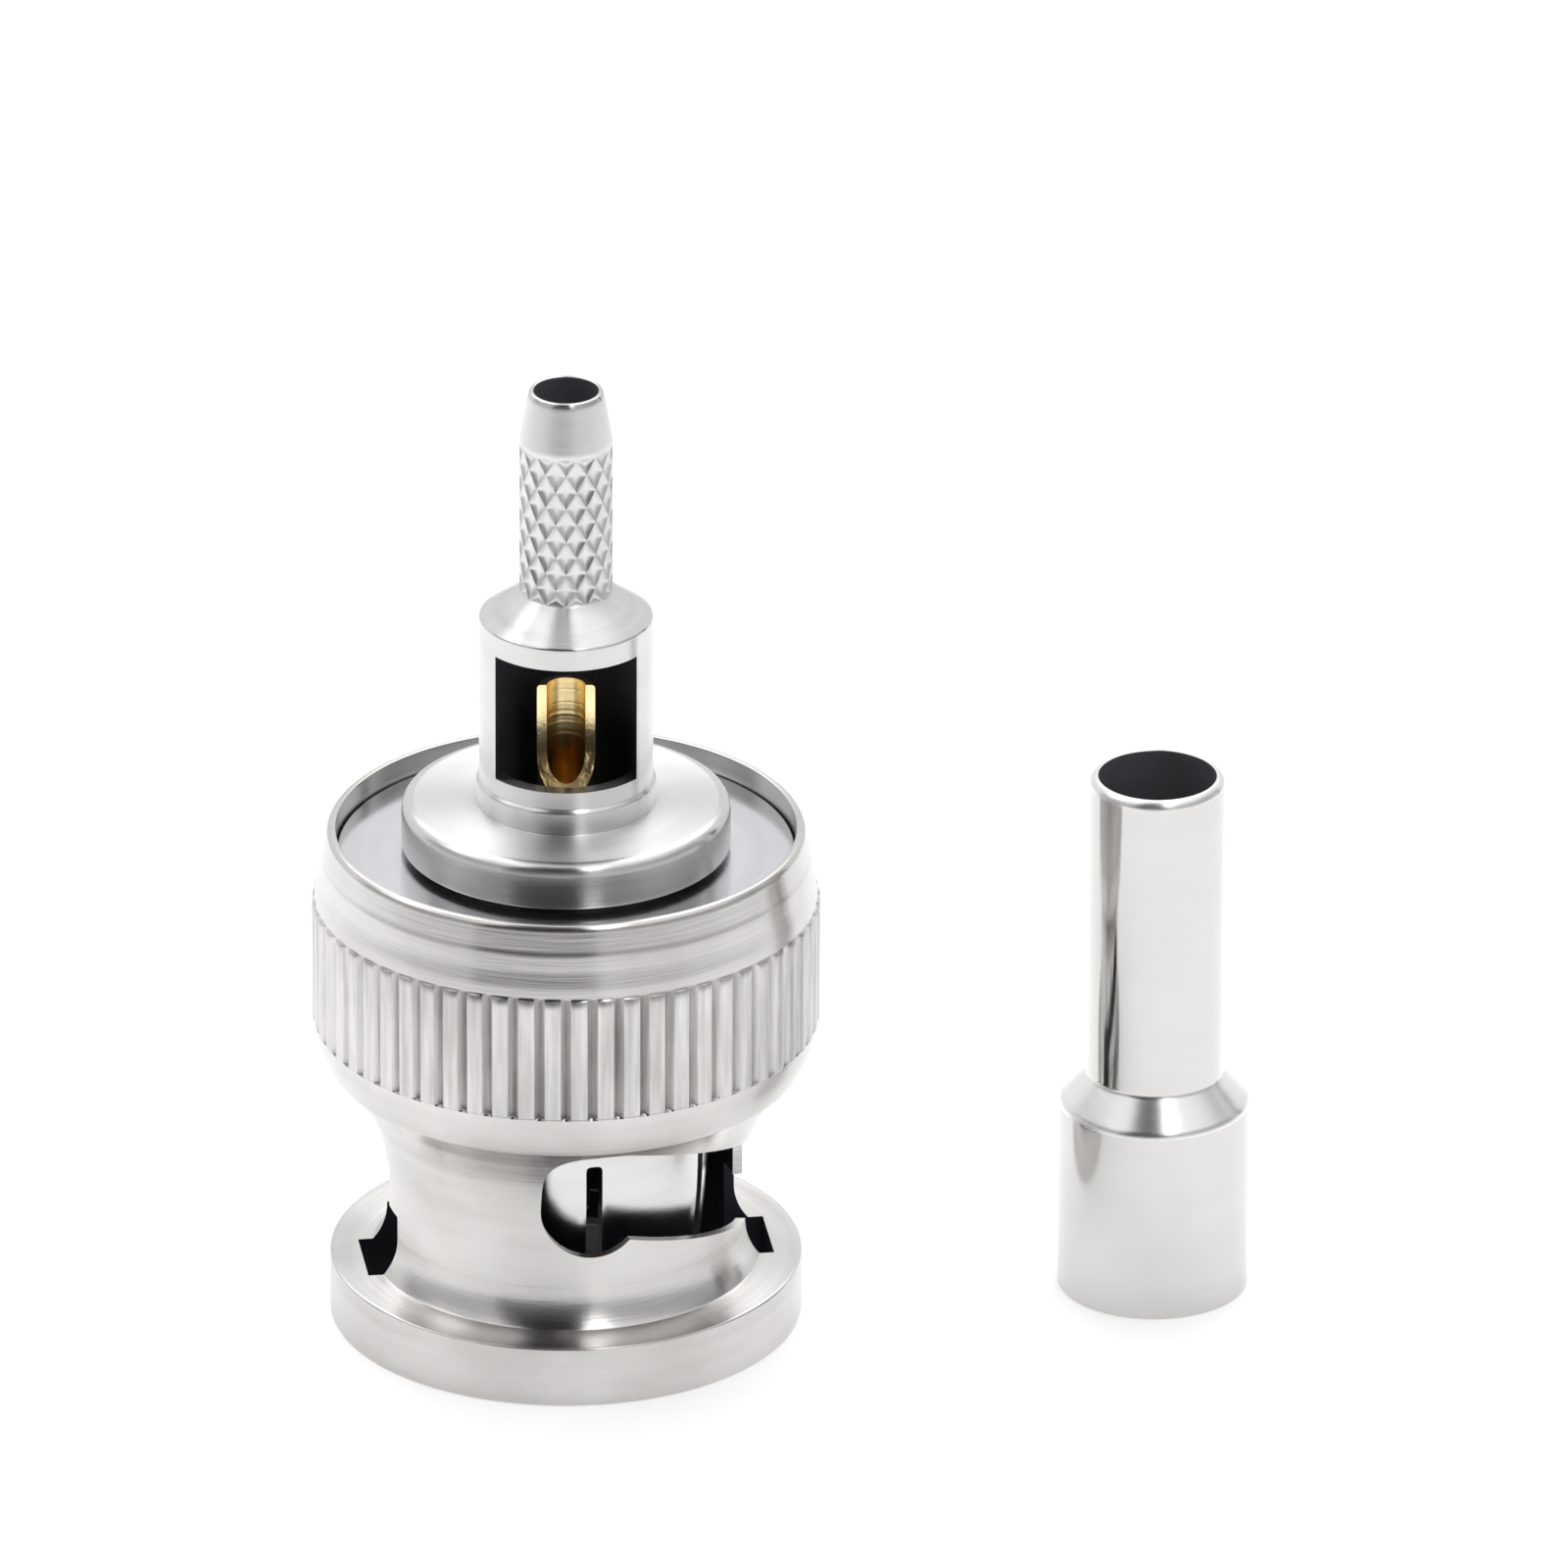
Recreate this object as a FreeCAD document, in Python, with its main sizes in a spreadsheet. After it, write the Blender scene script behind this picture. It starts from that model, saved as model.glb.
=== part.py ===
import FreeCAD, Part
import Sketcher
import os
from math import pi, radians, sqrt

# Bayonet plug for thin coaxial cable, with its stepped crimp ferrule standing beside it.
# Z is the plug's axis. The coupling nut's front face lies on Z = 0 and the cable end points up.
# -Y is the front of the part, where the window of the crimp body looks out.
# Angles round the axis start at the front and grow towards +X.

# Driving sizes, in millimetres and degrees
SIZES = {
    # Coupling nut, outside
    "nut_length": 15.05,
    "nut_flange_radius": 6.75,
    "nut_flange_height": 1.8,
    "edge_break": 0.12,
    "neck_root_growth": 0.4,
    "neck_root_length": 1.1,
    "neck_straight_end": 4.4,
    "crease_radius": 6.74,
    "crease_height": 7.87,
    "barrel_radius": 7.22,
    "knurl_front": 9.2,
    "knurl_length": 3.7,
    "knurl_depth": 0.24,
    "knurl_groove_width": 0.34,
    "knurl_count": 60,
    "rim_radius": 6.8,
    # Coupling nut, inside
    "receptacle_room": 0.82,
    "neck_wall": 0.28,
    "mouth_chamfer": 0.3,
    "cavity_radius": 6.2,
    "cavity_front": 8.6,
    "rim_wall": 0.25,
    "rim_depth": 0.65,
    # Bayonet tracks, cut through the neck
    "track_count": 2,
    "track_end_angle": 8.7,
    "track_end_radius": 1.5,
    "detent_height": 5.38,
    "detent_return": 0.77,
    "track_bend_angle": 15.6,
    "track_bend_high": 7.68,
    "track_end_low": 4.58,
    "entry_angle": 97.5,
    "entry_low": 2.65,
    "entry_high": 5.08,
    "entry_width": 2.4,
    "entry_radius": 5.85,
    # Washers and spring washers in the nut's cavity
    "retaining_thickness": 0.75,
    "thrust_thickness": 0.5,
    "washer_bore_clearance": 0.15,
    "cavity_clearance": 0.2,
    "turning_gap": 0.05,
    "stop_gap": 0.05,
    "spring_gap": 0.02,
    "spring_thickness": 0.25,
    # Outer contact with its spring fingers
    "sleeve_radius": 4.05,
    "sleeve_front": 1.9,
    "sleeve_wall": 0.6,
    "finger_count": 6,
    "finger_slot_width": 0.47,
    "finger_slot_end": 6.2,
    "finger_slot_turn": 11.5,
    "shell_bore_radius": 3.2,
    "shell_lip": 0.3,
    "shell_lip_length": 0.8,
    "shell_lip_front": 7.4,
    "hub_wall": 0.65,
    "shell_flange_clearance": 0.3,
    "shell_flange_thickness": 1.2,
    "shoulder_clearance": 0.25,
    "shoulder_front": 8.0,
    # Gasket
    "gasket_groove_length": 0.9,
    "gasket_groove_depth": 0.25,
    "gasket_length": 0.85,
    "gasket_wall": 0.92,
    # Insulator
    "insulator_nose": 0.4,
    "insulator_length": 3.2,
    "insulator_tail_radius": 1.5,
    # Centre contact
    "pin_radius": 0.685,
    "pin_recess": 0.45,
    "pin_point_length": 0.8,
    "pin_point_radius": 0.25,
    "contact_collar_radius": 0.95,
    "contact_collar_length": 2.6,
    "contact_collar_proud": 0.05,
    "cup_radius": 0.825,
    "cup_wall": 0.275,
    "cup_depth": 3.1,
    "cup_below_window_end": 1.55,
    "cup_cut_length": 1.45,
    "cup_scoop_radius": 1.3,
    # Crimp body
    "collar_gap": 0.2,
    "collar_radius": 4.68,
    "collar_thickness": 1.33,
    "base_ring_radius": 2.57,
    "base_ring_height": 0.76,
    "turret_radius": 2.47,
    "turret_wall": 0.42,
    "turret_length": 5.72,
    "cavity_floor_depth": 0.93,
    "window_start": 1.27,
    "window_length": 3.8,
    "window_width": 4.0,
    "window_end_wall": 0.2,
    "cone_length": 0.8,
    "stem_radius": 1.325,
    "stem_knurl_length": 4.55,
    "stem_tip_length": 1.6,
    "stem_tip_radius": 1.07,
    "stem_edge": 0.05,
    "cable_bore_radius": 0.915,
    # Ferrule
    "ferrule_wide_radius": 2.715,
    "ferrule_wall": 0.22,
    "ferrule_edge": 0.06,
    "ferrule_wide_length": 5.8,
    "ferrule_shoulder_length": 0.85,
    "ferrule_small_radius": 1.905,
    "ferrule_length": 15.9,
    "ferrule_lip": 0.07,
    "ferrule_lip_length": 0.4,
    "ferrule_side_distance": 16.83,
    "ferrule_back_distance": 1.6,
}

# Derived places, as expressions over the driving sizes
NUT_BORE = "(sizes.sleeve_radius + sizes.receptacle_room)"
NECK_RADIUS = f"({NUT_BORE} + sizes.neck_wall)"
RIM_BORE = "(sizes.rim_radius - sizes.rim_wall)"
RETAINER_REAR = "(sizes.nut_length - sizes.rim_depth)"
RETAINER_FRONT = f"({RETAINER_REAR} - sizes.retaining_thickness)"
THRUST_REAR = f"({RETAINER_FRONT} - sizes.turning_gap)"
THRUST_FRONT = f"({THRUST_REAR} - sizes.thrust_thickness)"
FLANGE_FRONT = "(sizes.cavity_front + sizes.stop_gap)"
FLANGE_REAR = f"({FLANGE_FRONT} + sizes.shell_flange_thickness)"
HUB_RADIUS = "(sizes.shell_bore_radius + sizes.hub_wall)"
WASHER_BORE = f"({HUB_RADIUS} + sizes.washer_bore_clearance)"
WASHER_RIM = "(sizes.cavity_radius - sizes.cavity_clearance)"
LIP_BORE = "(sizes.shell_bore_radius - sizes.shell_lip)"
LIP_REAR = "(sizes.shell_lip_front + sizes.shell_lip_length)"
INSULATOR_REAR = f"({LIP_REAR} + sizes.insulator_length)"
COLLAR_FRONT = f"({RETAINER_REAR} + sizes.collar_gap)"
COLLAR_REAR = f"({COLLAR_FRONT} + sizes.collar_thickness)"
CAVITY_FLOOR = f"({COLLAR_REAR} - sizes.cavity_floor_depth)"
TURRET_BORE = "(sizes.turret_radius - sizes.turret_wall)"
TURRET_REAR = f"({COLLAR_REAR} + sizes.turret_length)"
WINDOW_FRONT = f"({COLLAR_REAR} + sizes.window_start)"
WINDOW_REAR = f"({WINDOW_FRONT} + sizes.window_length)"
CONE_REAR = f"({TURRET_REAR} + sizes.cone_length)"
STEM_KNURL_REAR = f"({CONE_REAR} + sizes.stem_knurl_length)"
STEM_REAR = f"({STEM_KNURL_REAR} + sizes.stem_tip_length)"
CUP_REAR = f"({WINDOW_REAR} - sizes.cup_below_window_end)"
CUP_BORE = "(sizes.cup_radius - sizes.cup_wall)"
KNURL_REAR = "(sizes.knurl_front + sizes.knurl_length)"
TRACK_END_HEIGHT = "(sizes.detent_height + sizes.detent_return)"
GROOVE_FRONT = "(sizes.shoulder_front - sizes.gasket_groove_length)"
GROOVE_RADIUS = "(sizes.sleeve_radius - sizes.gasket_groove_depth)"
INSULATOR_FRONT = "(sizes.shell_lip_front - sizes.insulator_nose)"
CONTACT_COLLAR_FRONT = f"({INSULATOR_FRONT} - sizes.contact_collar_proud)"
CONTACT_COLLAR_REAR = f"({CONTACT_COLLAR_FRONT} + sizes.contact_collar_length)"
SPRING_SPACE = f"(({THRUST_FRONT} - {FLANGE_REAR} - 3 * sizes.spring_gap) / 2)"
SPRING_RISE = f"({SPRING_SPACE} - sizes.spring_thickness)"

# A cutting tool reaches this far past what it cuts
OVERRUN = 0.5
# How closely the thickened track follows a true helix, in millimetres
OFFSET_TOLERANCE = 1e-4
# The directions that a sketch is turned about, in its own frame
ALONG_AXIS = FreeCAD.Vector(0, 0, 1)
UPRIGHT = FreeCAD.Vector(0, 1, 0)

doc = FreeCAD.newDocument("bayonet_plug")
sheet = doc.addObject("Spreadsheet::Sheet", "sizes")
for row, (alias, size) in enumerate(SIZES.items(), start=1):
    sheet.set(f"A{row}", alias.replace("_", " "))
    sheet.set(f"B{row}", str(size))
    sheet.setAlias(f"B{row}", alias)
doc.recompute()


def value(expression):
    """The number that an expression over the sheet gives."""
    result = sheet.evalExpression(str(expression))
    return float(getattr(result, "Value", result))


def origin_feature(body, role):
    """One of a body's own origin planes or axes."""
    return next(item for item in body.Origin.OriginFeatures if item.Role == role)


def line_to(across, up):
    """A straight side of an outline, to a point given by two expressions."""
    return (across, up, None)


def arc_to(across, up, radius, turn):
    """A round side of an outline. It turns left (1) or right (-1) on its way."""
    return (across, up, (radius, turn))


def arc_between(start, end, radius, turn):
    """The circular arc of a radius from start to end, as sketch geometry."""
    middle = (start + end) * 0.5
    chord = end - start
    sideways = FreeCAD.Vector(-chord.y, chord.x, 0).normalize() * turn
    reach = sqrt(max(radius**2 - (chord.Length / 2) ** 2, 0))
    centre = middle + sideways * reach
    circle = Part.Circle(centre, FreeCAD.Vector(0, 0, 1), radius)
    first, last = (start, end) if turn > 0 else (end, start)
    return Part.ArcOfCircle(circle, circle.parameter(first), circle.parameter(last))


def fix_coordinate(sketch, kind, geometry, end, expression):
    """Ties one coordinate of a sketch point to an expression."""
    size = value(expression)
    axis = -2 if kind == "DistanceX" else -1
    if abs(size) < 1e-9:
        sketch.addConstraint(Sketcher.Constraint("PointOnObject", geometry, end, axis))
        return
    if size > 0:
        index = sketch.addConstraint(Sketcher.Constraint(kind, -1, 1, geometry, end, size))
        sketch.setExpression(f"Constraints[{index}]", expression)
    else:
        index = sketch.addConstraint(Sketcher.Constraint(kind, geometry, end, -1, 1, -size))
        sketch.setExpression(f"Constraints[{index}]", f"-({expression})")


def add_outline(sketch, outline):
    """Draws a closed outline in a sketch and ties every corner and arc to the sheet."""
    corners = [FreeCAD.Vector(value(across), value(up), 0) for across, up, bend in outline]
    first = len(sketch.Geometry)
    ends = []
    for index, (across, up, bend) in enumerate(outline):
        start, end = corners[index - 1], corners[index]
        if bend is None:
            sketch.addGeometry(Part.LineSegment(start, end))
            ends.append((1, 2))
        else:
            radius, turn = bend
            sketch.addGeometry(arc_between(start, end, value(radius), turn))
            ends.append((1, 2) if turn > 0 else (2, 1))
    for index, (across, up, bend) in enumerate(outline):
        side, following = first + index, first + (index + 1) % len(outline)
        joint = Sketcher.Constraint(
            "Coincident", side, ends[index][1], following, ends[(index + 1) % len(outline)][0]
        )
        sketch.addConstraint(joint)
        fix_coordinate(sketch, "DistanceX", side, ends[index][1], across)
        fix_coordinate(sketch, "DistanceY", side, ends[index][1], up)
        if bend is not None:
            number = sketch.addConstraint(Sketcher.Constraint("Radius", side, value(bend[0])))
            sketch.setExpression(f"Constraints[{number}]", bend[0])


def sketch_on(body, plane, name, outline, offset="0"):
    """A sketch with one closed outline on an origin plane of its body, or at an offset from it."""
    sketch = body.newObject("Sketcher::SketchObject", name)
    sketch.AttachmentSupport = (origin_feature(body, plane), [""])
    sketch.MapMode = "FlatFace"
    if offset != "0":
        sketch.setExpression("AttachmentOffset.Base.z", offset)
    add_outline(sketch, outline)
    return sketch


def turn_sketch(sketch, axis, angle):
    """Turns an attached sketch round the part's axis, by an expression in degrees."""
    sketch.AttachmentOffset = FreeCAD.Placement(FreeCAD.Vector(), FreeCAD.Rotation(axis, 1))
    sketch.setExpression("AttachmentOffset.Rotation.Angle", angle)


def box_outline(left, right, bottom, top):
    """The four sides of a rectangle."""
    return [line_to(left, bottom), line_to(right, bottom), line_to(right, top), line_to(left, top)]


def turned_body(name, outline):
    """A body turned on a lathe: a half section in the XZ plane, revolved about Z."""
    body = doc.addObject("PartDesign::Body", name)
    section = sketch_on(body, "XZ_Plane", f"{name}_section", outline)
    turning = body.newObject("PartDesign::Revolution", f"{name}_turning")
    turning.Profile = section
    turning.ReferenceAxis = (section, ["V_Axis"])
    turning.Angle = 360
    body.Tip = turning
    return body


def cut_pocket(body, sketch, length, reversed_side=False, both_sides=False):
    """A pocket of a length into a body. It fails loudly when it takes nothing away."""
    doc.recompute()
    before = body.Shape.Volume
    pocket = body.newObject("PartDesign::Pocket", f"{sketch.Name}_cut")
    pocket.Profile = sketch
    pocket.Midplane = both_sides
    pocket.Reversed = reversed_side
    pocket.setExpression("Length", length)
    body.Tip = pocket
    doc.recompute()
    if not body.Shape.Volume < before:
        raise RuntimeError(f"{pocket.Name} takes nothing away")
    return pocket


def repeat_round(body, feature, count):
    """Copies of a feature, evenly round the body's Z axis."""
    pattern = body.newObject("PartDesign::PolarPattern", f"{feature.Name}_round")
    pattern.Originals = [feature]
    pattern.Axis = (origin_feature(body, "Z_Axis"), [""])
    pattern.Angle = 360
    pattern.setExpression("Occurrences", count)
    body.Tip = pattern
    return pattern


def ring(name, inner, outer, front, rear):
    """A plain flat ring."""
    return turned_body(name, box_outline(inner, outer, front, rear))


def nut_outline():
    """Half section of the nut: flange, neck, crease, barrel and rim, then the inside back down."""
    edge = "sizes.edge_break"
    flare_rise = "(sizes.crease_height - sizes.neck_straight_end)"
    flare_growth = f"(sizes.crease_radius - {NECK_RADIUS})"
    flare = f"(({flare_rise} ^ 2 + {flare_growth} ^ 2) / (2 * {flare_growth}))"
    return [
        line_to(f"{NUT_BORE} + sizes.mouth_chamfer", "0"),
        line_to("sizes.nut_flange_radius", "0"),
        line_to("sizes.nut_flange_radius", f"sizes.nut_flange_height - {edge}"),
        line_to(f"sizes.nut_flange_radius - {edge}", "sizes.nut_flange_height"),
        line_to(f"{NECK_RADIUS} + sizes.neck_root_growth", "sizes.nut_flange_height"),
        line_to(NECK_RADIUS, "sizes.nut_flange_height + sizes.neck_root_length"),
        line_to(NECK_RADIUS, "sizes.neck_straight_end"),
        arc_to("sizes.crease_radius", "sizes.crease_height", flare, -1),
        line_to("sizes.barrel_radius", "sizes.knurl_front"),
        line_to("sizes.barrel_radius", KNURL_REAR),
        line_to("sizes.rim_radius", "sizes.nut_length"),
        line_to(RIM_BORE, "sizes.nut_length"),
        line_to(RIM_BORE, RETAINER_FRONT),
        line_to("sizes.cavity_radius", RETAINER_FRONT),
        line_to("sizes.cavity_radius", "sizes.cavity_front"),
        line_to(NUT_BORE, "sizes.cavity_front"),
        line_to(NUT_BORE, "sizes.mouth_chamfer"),
    ]


def track_patch():
    """Solid cutter for the sloping run of a bayonet track.

    Its outline is drawn on a cylinder inside the neck, as turns and heights, so that its long sides
    are helices. The patch is then thickened outwards through the wall, which makes every side radial.
    """
    cylinder = Part.Cylinder()
    cylinder.Radius = value(NUT_BORE) - OVERRUN
    turns_and_heights = [
        ("sizes.entry_angle", "sizes.entry_low"),
        ("sizes.entry_angle", "sizes.entry_high"),
        ("sizes.track_bend_angle", "sizes.track_bend_high"),
        ("sizes.track_end_angle", f"{TRACK_END_HEIGHT} + sizes.track_end_radius - sizes.edge_break"),
        ("sizes.track_end_angle", "sizes.track_end_low"),
    ]
    # The front lies a quarter turn before +X. One whole turn more keeps the outline off the cylinder's seam.
    corners = [
        FreeCAD.Base.Vector2d(radians(value(turn) - 90) + 2 * pi, value(height))
        for turn, height in turns_and_heights
    ]
    sides = [
        Part.Geom2d.Line2dSegment(corners[index - 1], corners[index]).toShape(cylinder)
        for index in range(len(corners))
    ]
    patch = Part.Face(cylinder, Part.Wire(sides))
    patch.validate()
    reach = value("sizes.crease_radius") - cylinder.Radius + OVERRUN
    return patch.makeOffsetShape(reach, OFFSET_TOLERANCE, fill=True)


def cut_knurl(nut):
    """Straight knurl: one V groove, repeated round the nut."""
    half_width = "sizes.knurl_groove_width / 2"
    mouth = "sizes.barrel_radius + sizes.edge_break"
    outline = [
        line_to("0", "-(sizes.barrel_radius - sizes.knurl_depth)"),
        line_to(f"-{half_width}", "-sizes.barrel_radius"),
        line_to(f"-{half_width}", f"-({mouth})"),
        line_to(half_width, f"-({mouth})"),
        line_to(half_width, "-sizes.barrel_radius"),
    ]
    groove = sketch_on(nut, "XY_Plane", "knurl_groove", outline, offset=KNURL_REAR)
    repeat_round(nut, cut_pocket(nut, groove, "sizes.knurl_length"), "sizes.knurl_count")


def cut_track_ends(nut):
    """The detent that a receptacle's lug drops into, at the end of each bayonet track."""
    radius = "sizes.track_end_radius"
    outline = [
        line_to(f"-{radius}", "sizes.detent_height"),
        arc_to("0", f"sizes.detent_height - {radius}", radius, 1),
        arc_to(radius, "sizes.detent_height", radius, 1),
        line_to(radius, TRACK_END_HEIGHT),
        arc_to("0", f"{TRACK_END_HEIGHT} + {radius}", radius, 1),
        arc_to(f"-{radius}", TRACK_END_HEIGHT, radius, 1),
    ]
    detent = sketch_on(nut, "XZ_Plane", "track_end", outline)
    turn_sketch(detent, UPRIGHT, "sizes.track_end_angle")
    pocket = cut_pocket(nut, detent, "sizes.crease_radius", reversed_side=True)
    repeat_round(nut, pocket, "sizes.track_count")


def cut_entries(nut):
    """The groove along the bore through which each lug of the receptacle enters."""
    half_width = "sizes.entry_width / 2"
    outline = box_outline(f"-{half_width}", half_width, "-sizes.entry_radius", f"-({NUT_BORE} - {OVERRUN})")
    entry = sketch_on(nut, "XY_Plane", "entry", outline)
    turn_sketch(entry, ALONG_AXIS, "sizes.entry_angle")
    pocket = cut_pocket(nut, entry, "sizes.entry_high", reversed_side=True)
    repeat_round(nut, pocket, "sizes.track_count")


def make_coupling_nut():
    """The turned nut with its knurl, and its bayonet tracks with their detents and entries."""
    blank = turned_body("nut_blank", nut_outline())
    cut_knurl(blank)
    cut_track_ends(blank)
    cut_entries(blank)
    count = int(value("sizes.track_count"))
    patch = track_patch()
    runs = []
    for number in range(count):
        run = doc.addObject("Part::Feature", f"track_run_{number + 1}")
        run.Shape = patch
        turn = FreeCAD.Rotation(ALONG_AXIS, 360 * number / count)
        run.Placement = FreeCAD.Placement(FreeCAD.Vector(), turn)
        runs.append(run)
    cutters = doc.addObject("Part::Compound", "track_runs")
    cutters.Links = runs
    nut = doc.addObject("Part::Cut", "coupling_nut")
    nut.Base = blank
    nut.Tool = cutters
    return nut


def make_outer_contact():
    """The front shell: slotted sleeve, gasket seat, shoulder, flange and rear hub in one turned piece."""
    edge = "sizes.edge_break"
    finger_bore = "(sizes.sleeve_radius - sizes.sleeve_wall)"
    shoulder = f"{NUT_BORE} - sizes.shoulder_clearance"
    flange = "sizes.cavity_radius - sizes.shell_flange_clearance"
    body = turned_body(
        "outer_contact",
        [
            line_to(finger_bore, "sizes.sleeve_front"),
            line_to(f"sizes.sleeve_radius - {edge}", "sizes.sleeve_front"),
            line_to("sizes.sleeve_radius", f"sizes.sleeve_front + {edge}"),
            line_to("sizes.sleeve_radius", GROOVE_FRONT),
            line_to(GROOVE_RADIUS, GROOVE_FRONT),
            line_to(GROOVE_RADIUS, "sizes.shoulder_front"),
            line_to(shoulder, "sizes.shoulder_front"),
            line_to(shoulder, FLANGE_FRONT),
            line_to(flange, FLANGE_FRONT),
            line_to(flange, FLANGE_REAR),
            line_to(HUB_RADIUS, FLANGE_REAR),
            line_to(HUB_RADIUS, COLLAR_FRONT),
            line_to("sizes.shell_bore_radius", COLLAR_FRONT),
            line_to("sizes.shell_bore_radius", LIP_REAR),
            line_to(LIP_BORE, LIP_REAR),
            line_to(LIP_BORE, "sizes.shell_lip_front"),
            line_to(finger_bore, "sizes.shell_lip_front"),
        ],
    )
    half_width = "sizes.finger_slot_width / 2"
    mouth = f"sizes.sleeve_front - {OVERRUN}"
    outline = box_outline(f"-{half_width}", half_width, mouth, "sizes.finger_slot_end")
    slot = sketch_on(body, "XZ_Plane", "finger_slot", outline)
    turn_sketch(slot, UPRIGHT, "sizes.finger_slot_turn")
    pocket = cut_pocket(body, slot, f"(sizes.sleeve_radius + {OVERRUN})", reversed_side=True)
    repeat_round(body, pocket, "sizes.finger_count")
    return body


def make_gasket():
    """Sealing ring in its groove behind the fingers."""
    outer = f"({GROOVE_RADIUS} + sizes.gasket_wall)"
    front = "(sizes.shoulder_front - sizes.gasket_length)"
    return ring("gasket", GROOVE_RADIUS, outer, front, "sizes.shoulder_front")


def make_insulator():
    """Dielectric bead: nose in the shell's lip, body in its bore, tail up the crimp body."""
    return turned_body(
        "insulator",
        [
            line_to("sizes.contact_collar_radius", INSULATOR_FRONT),
            line_to(LIP_BORE, INSULATOR_FRONT),
            line_to(LIP_BORE, LIP_REAR),
            line_to("sizes.shell_bore_radius", LIP_REAR),
            line_to("sizes.shell_bore_radius", INSULATOR_REAR),
            line_to("sizes.insulator_tail_radius", INSULATOR_REAR),
            line_to("sizes.insulator_tail_radius", CAVITY_FLOOR),
            line_to("sizes.cup_radius", CAVITY_FLOOR),
            line_to("sizes.cup_radius", CONTACT_COLLAR_REAR),
            line_to("sizes.contact_collar_radius", CONTACT_COLLAR_REAR),
        ],
    )


def make_centre_contact():
    """Pin with a point, a collar seated in the insulator, and a solder cup cut open towards the window."""
    tip = "(sizes.sleeve_front + sizes.pin_recess)"
    cup_floor = f"{CUP_REAR} - sizes.cup_depth"
    body = turned_body(
        "centre_contact",
        [
            line_to("0", tip),
            line_to("sizes.pin_point_radius", tip),
            line_to("sizes.pin_radius", f"{tip} + sizes.pin_point_length"),
            line_to("sizes.pin_radius", CONTACT_COLLAR_FRONT),
            line_to("sizes.contact_collar_radius", CONTACT_COLLAR_FRONT),
            line_to("sizes.contact_collar_radius", CONTACT_COLLAR_REAR),
            line_to("sizes.cup_radius", CONTACT_COLLAR_REAR),
            line_to("sizes.cup_radius", CUP_REAR),
            line_to(CUP_BORE, CUP_REAR),
            line_to(CUP_BORE, cup_floor),
            line_to("0", cup_floor),
        ],
    )
    scoop = "sizes.cup_scoop_radius"
    cut_front = f"({CUP_REAR} - sizes.cup_cut_length)"
    opening = sketch_on(
        body,
        "YZ_Plane",
        "cup_opening",
        [
            arc_to("0", cut_front, scoop, 1),
            line_to("0", f"{CUP_REAR} + {OVERRUN}"),
            line_to(f"-{scoop}", f"{CUP_REAR} + {OVERRUN}"),
            line_to(f"-{scoop}", f"{cut_front} - {scoop}"),
        ],
    )
    cut_pocket(body, opening, f"(2 * sizes.cup_radius + {OVERRUN})", both_sides=True)
    return body


def make_crimp_body():
    """Spigot, collar, windowed turret, cone and crimp stem, turned from one bar and bored from both ends."""
    edge = "sizes.edge_break"
    bore_front = f"{WINDOW_REAR} + sizes.window_end_wall"
    ring_rear = f"{COLLAR_REAR} + sizes.base_ring_height"
    ring_edge = "(sizes.base_ring_radius - sizes.turret_radius)"
    body = turned_body(
        "crimp_body",
        [
            line_to("sizes.insulator_tail_radius", INSULATOR_REAR),
            line_to("sizes.shell_bore_radius", INSULATOR_REAR),
            line_to("sizes.shell_bore_radius", COLLAR_FRONT),
            line_to("sizes.collar_radius", COLLAR_FRONT),
            line_to("sizes.collar_radius", f"{COLLAR_REAR} - {edge}"),
            line_to(f"sizes.collar_radius - {edge}", COLLAR_REAR),
            line_to("sizes.base_ring_radius", COLLAR_REAR),
            line_to("sizes.base_ring_radius", f"{ring_rear} - {ring_edge}"),
            line_to("sizes.turret_radius", ring_rear),
            line_to("sizes.turret_radius", TURRET_REAR),
            line_to("sizes.stem_radius", CONE_REAR),
            line_to("sizes.stem_radius", STEM_KNURL_REAR),
            line_to("sizes.stem_tip_radius", f"{STEM_REAR} - sizes.stem_edge"),
            line_to("sizes.stem_tip_radius - sizes.stem_edge", STEM_REAR),
            line_to("sizes.cable_bore_radius", STEM_REAR),
            line_to("sizes.cable_bore_radius", bore_front),
            line_to(TURRET_BORE, bore_front),
            line_to(TURRET_BORE, CAVITY_FLOOR),
            line_to("sizes.insulator_tail_radius", CAVITY_FLOOR),
        ],
    )
    half_width = "sizes.window_width / 2"
    outline = box_outline(f"-{half_width}", half_width, WINDOW_FRONT, WINDOW_REAR)
    window = sketch_on(body, "XZ_Plane", "window", outline)
    cut_pocket(body, window, f"(sizes.turret_radius + {OVERRUN})", reversed_side=True)
    return body


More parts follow.
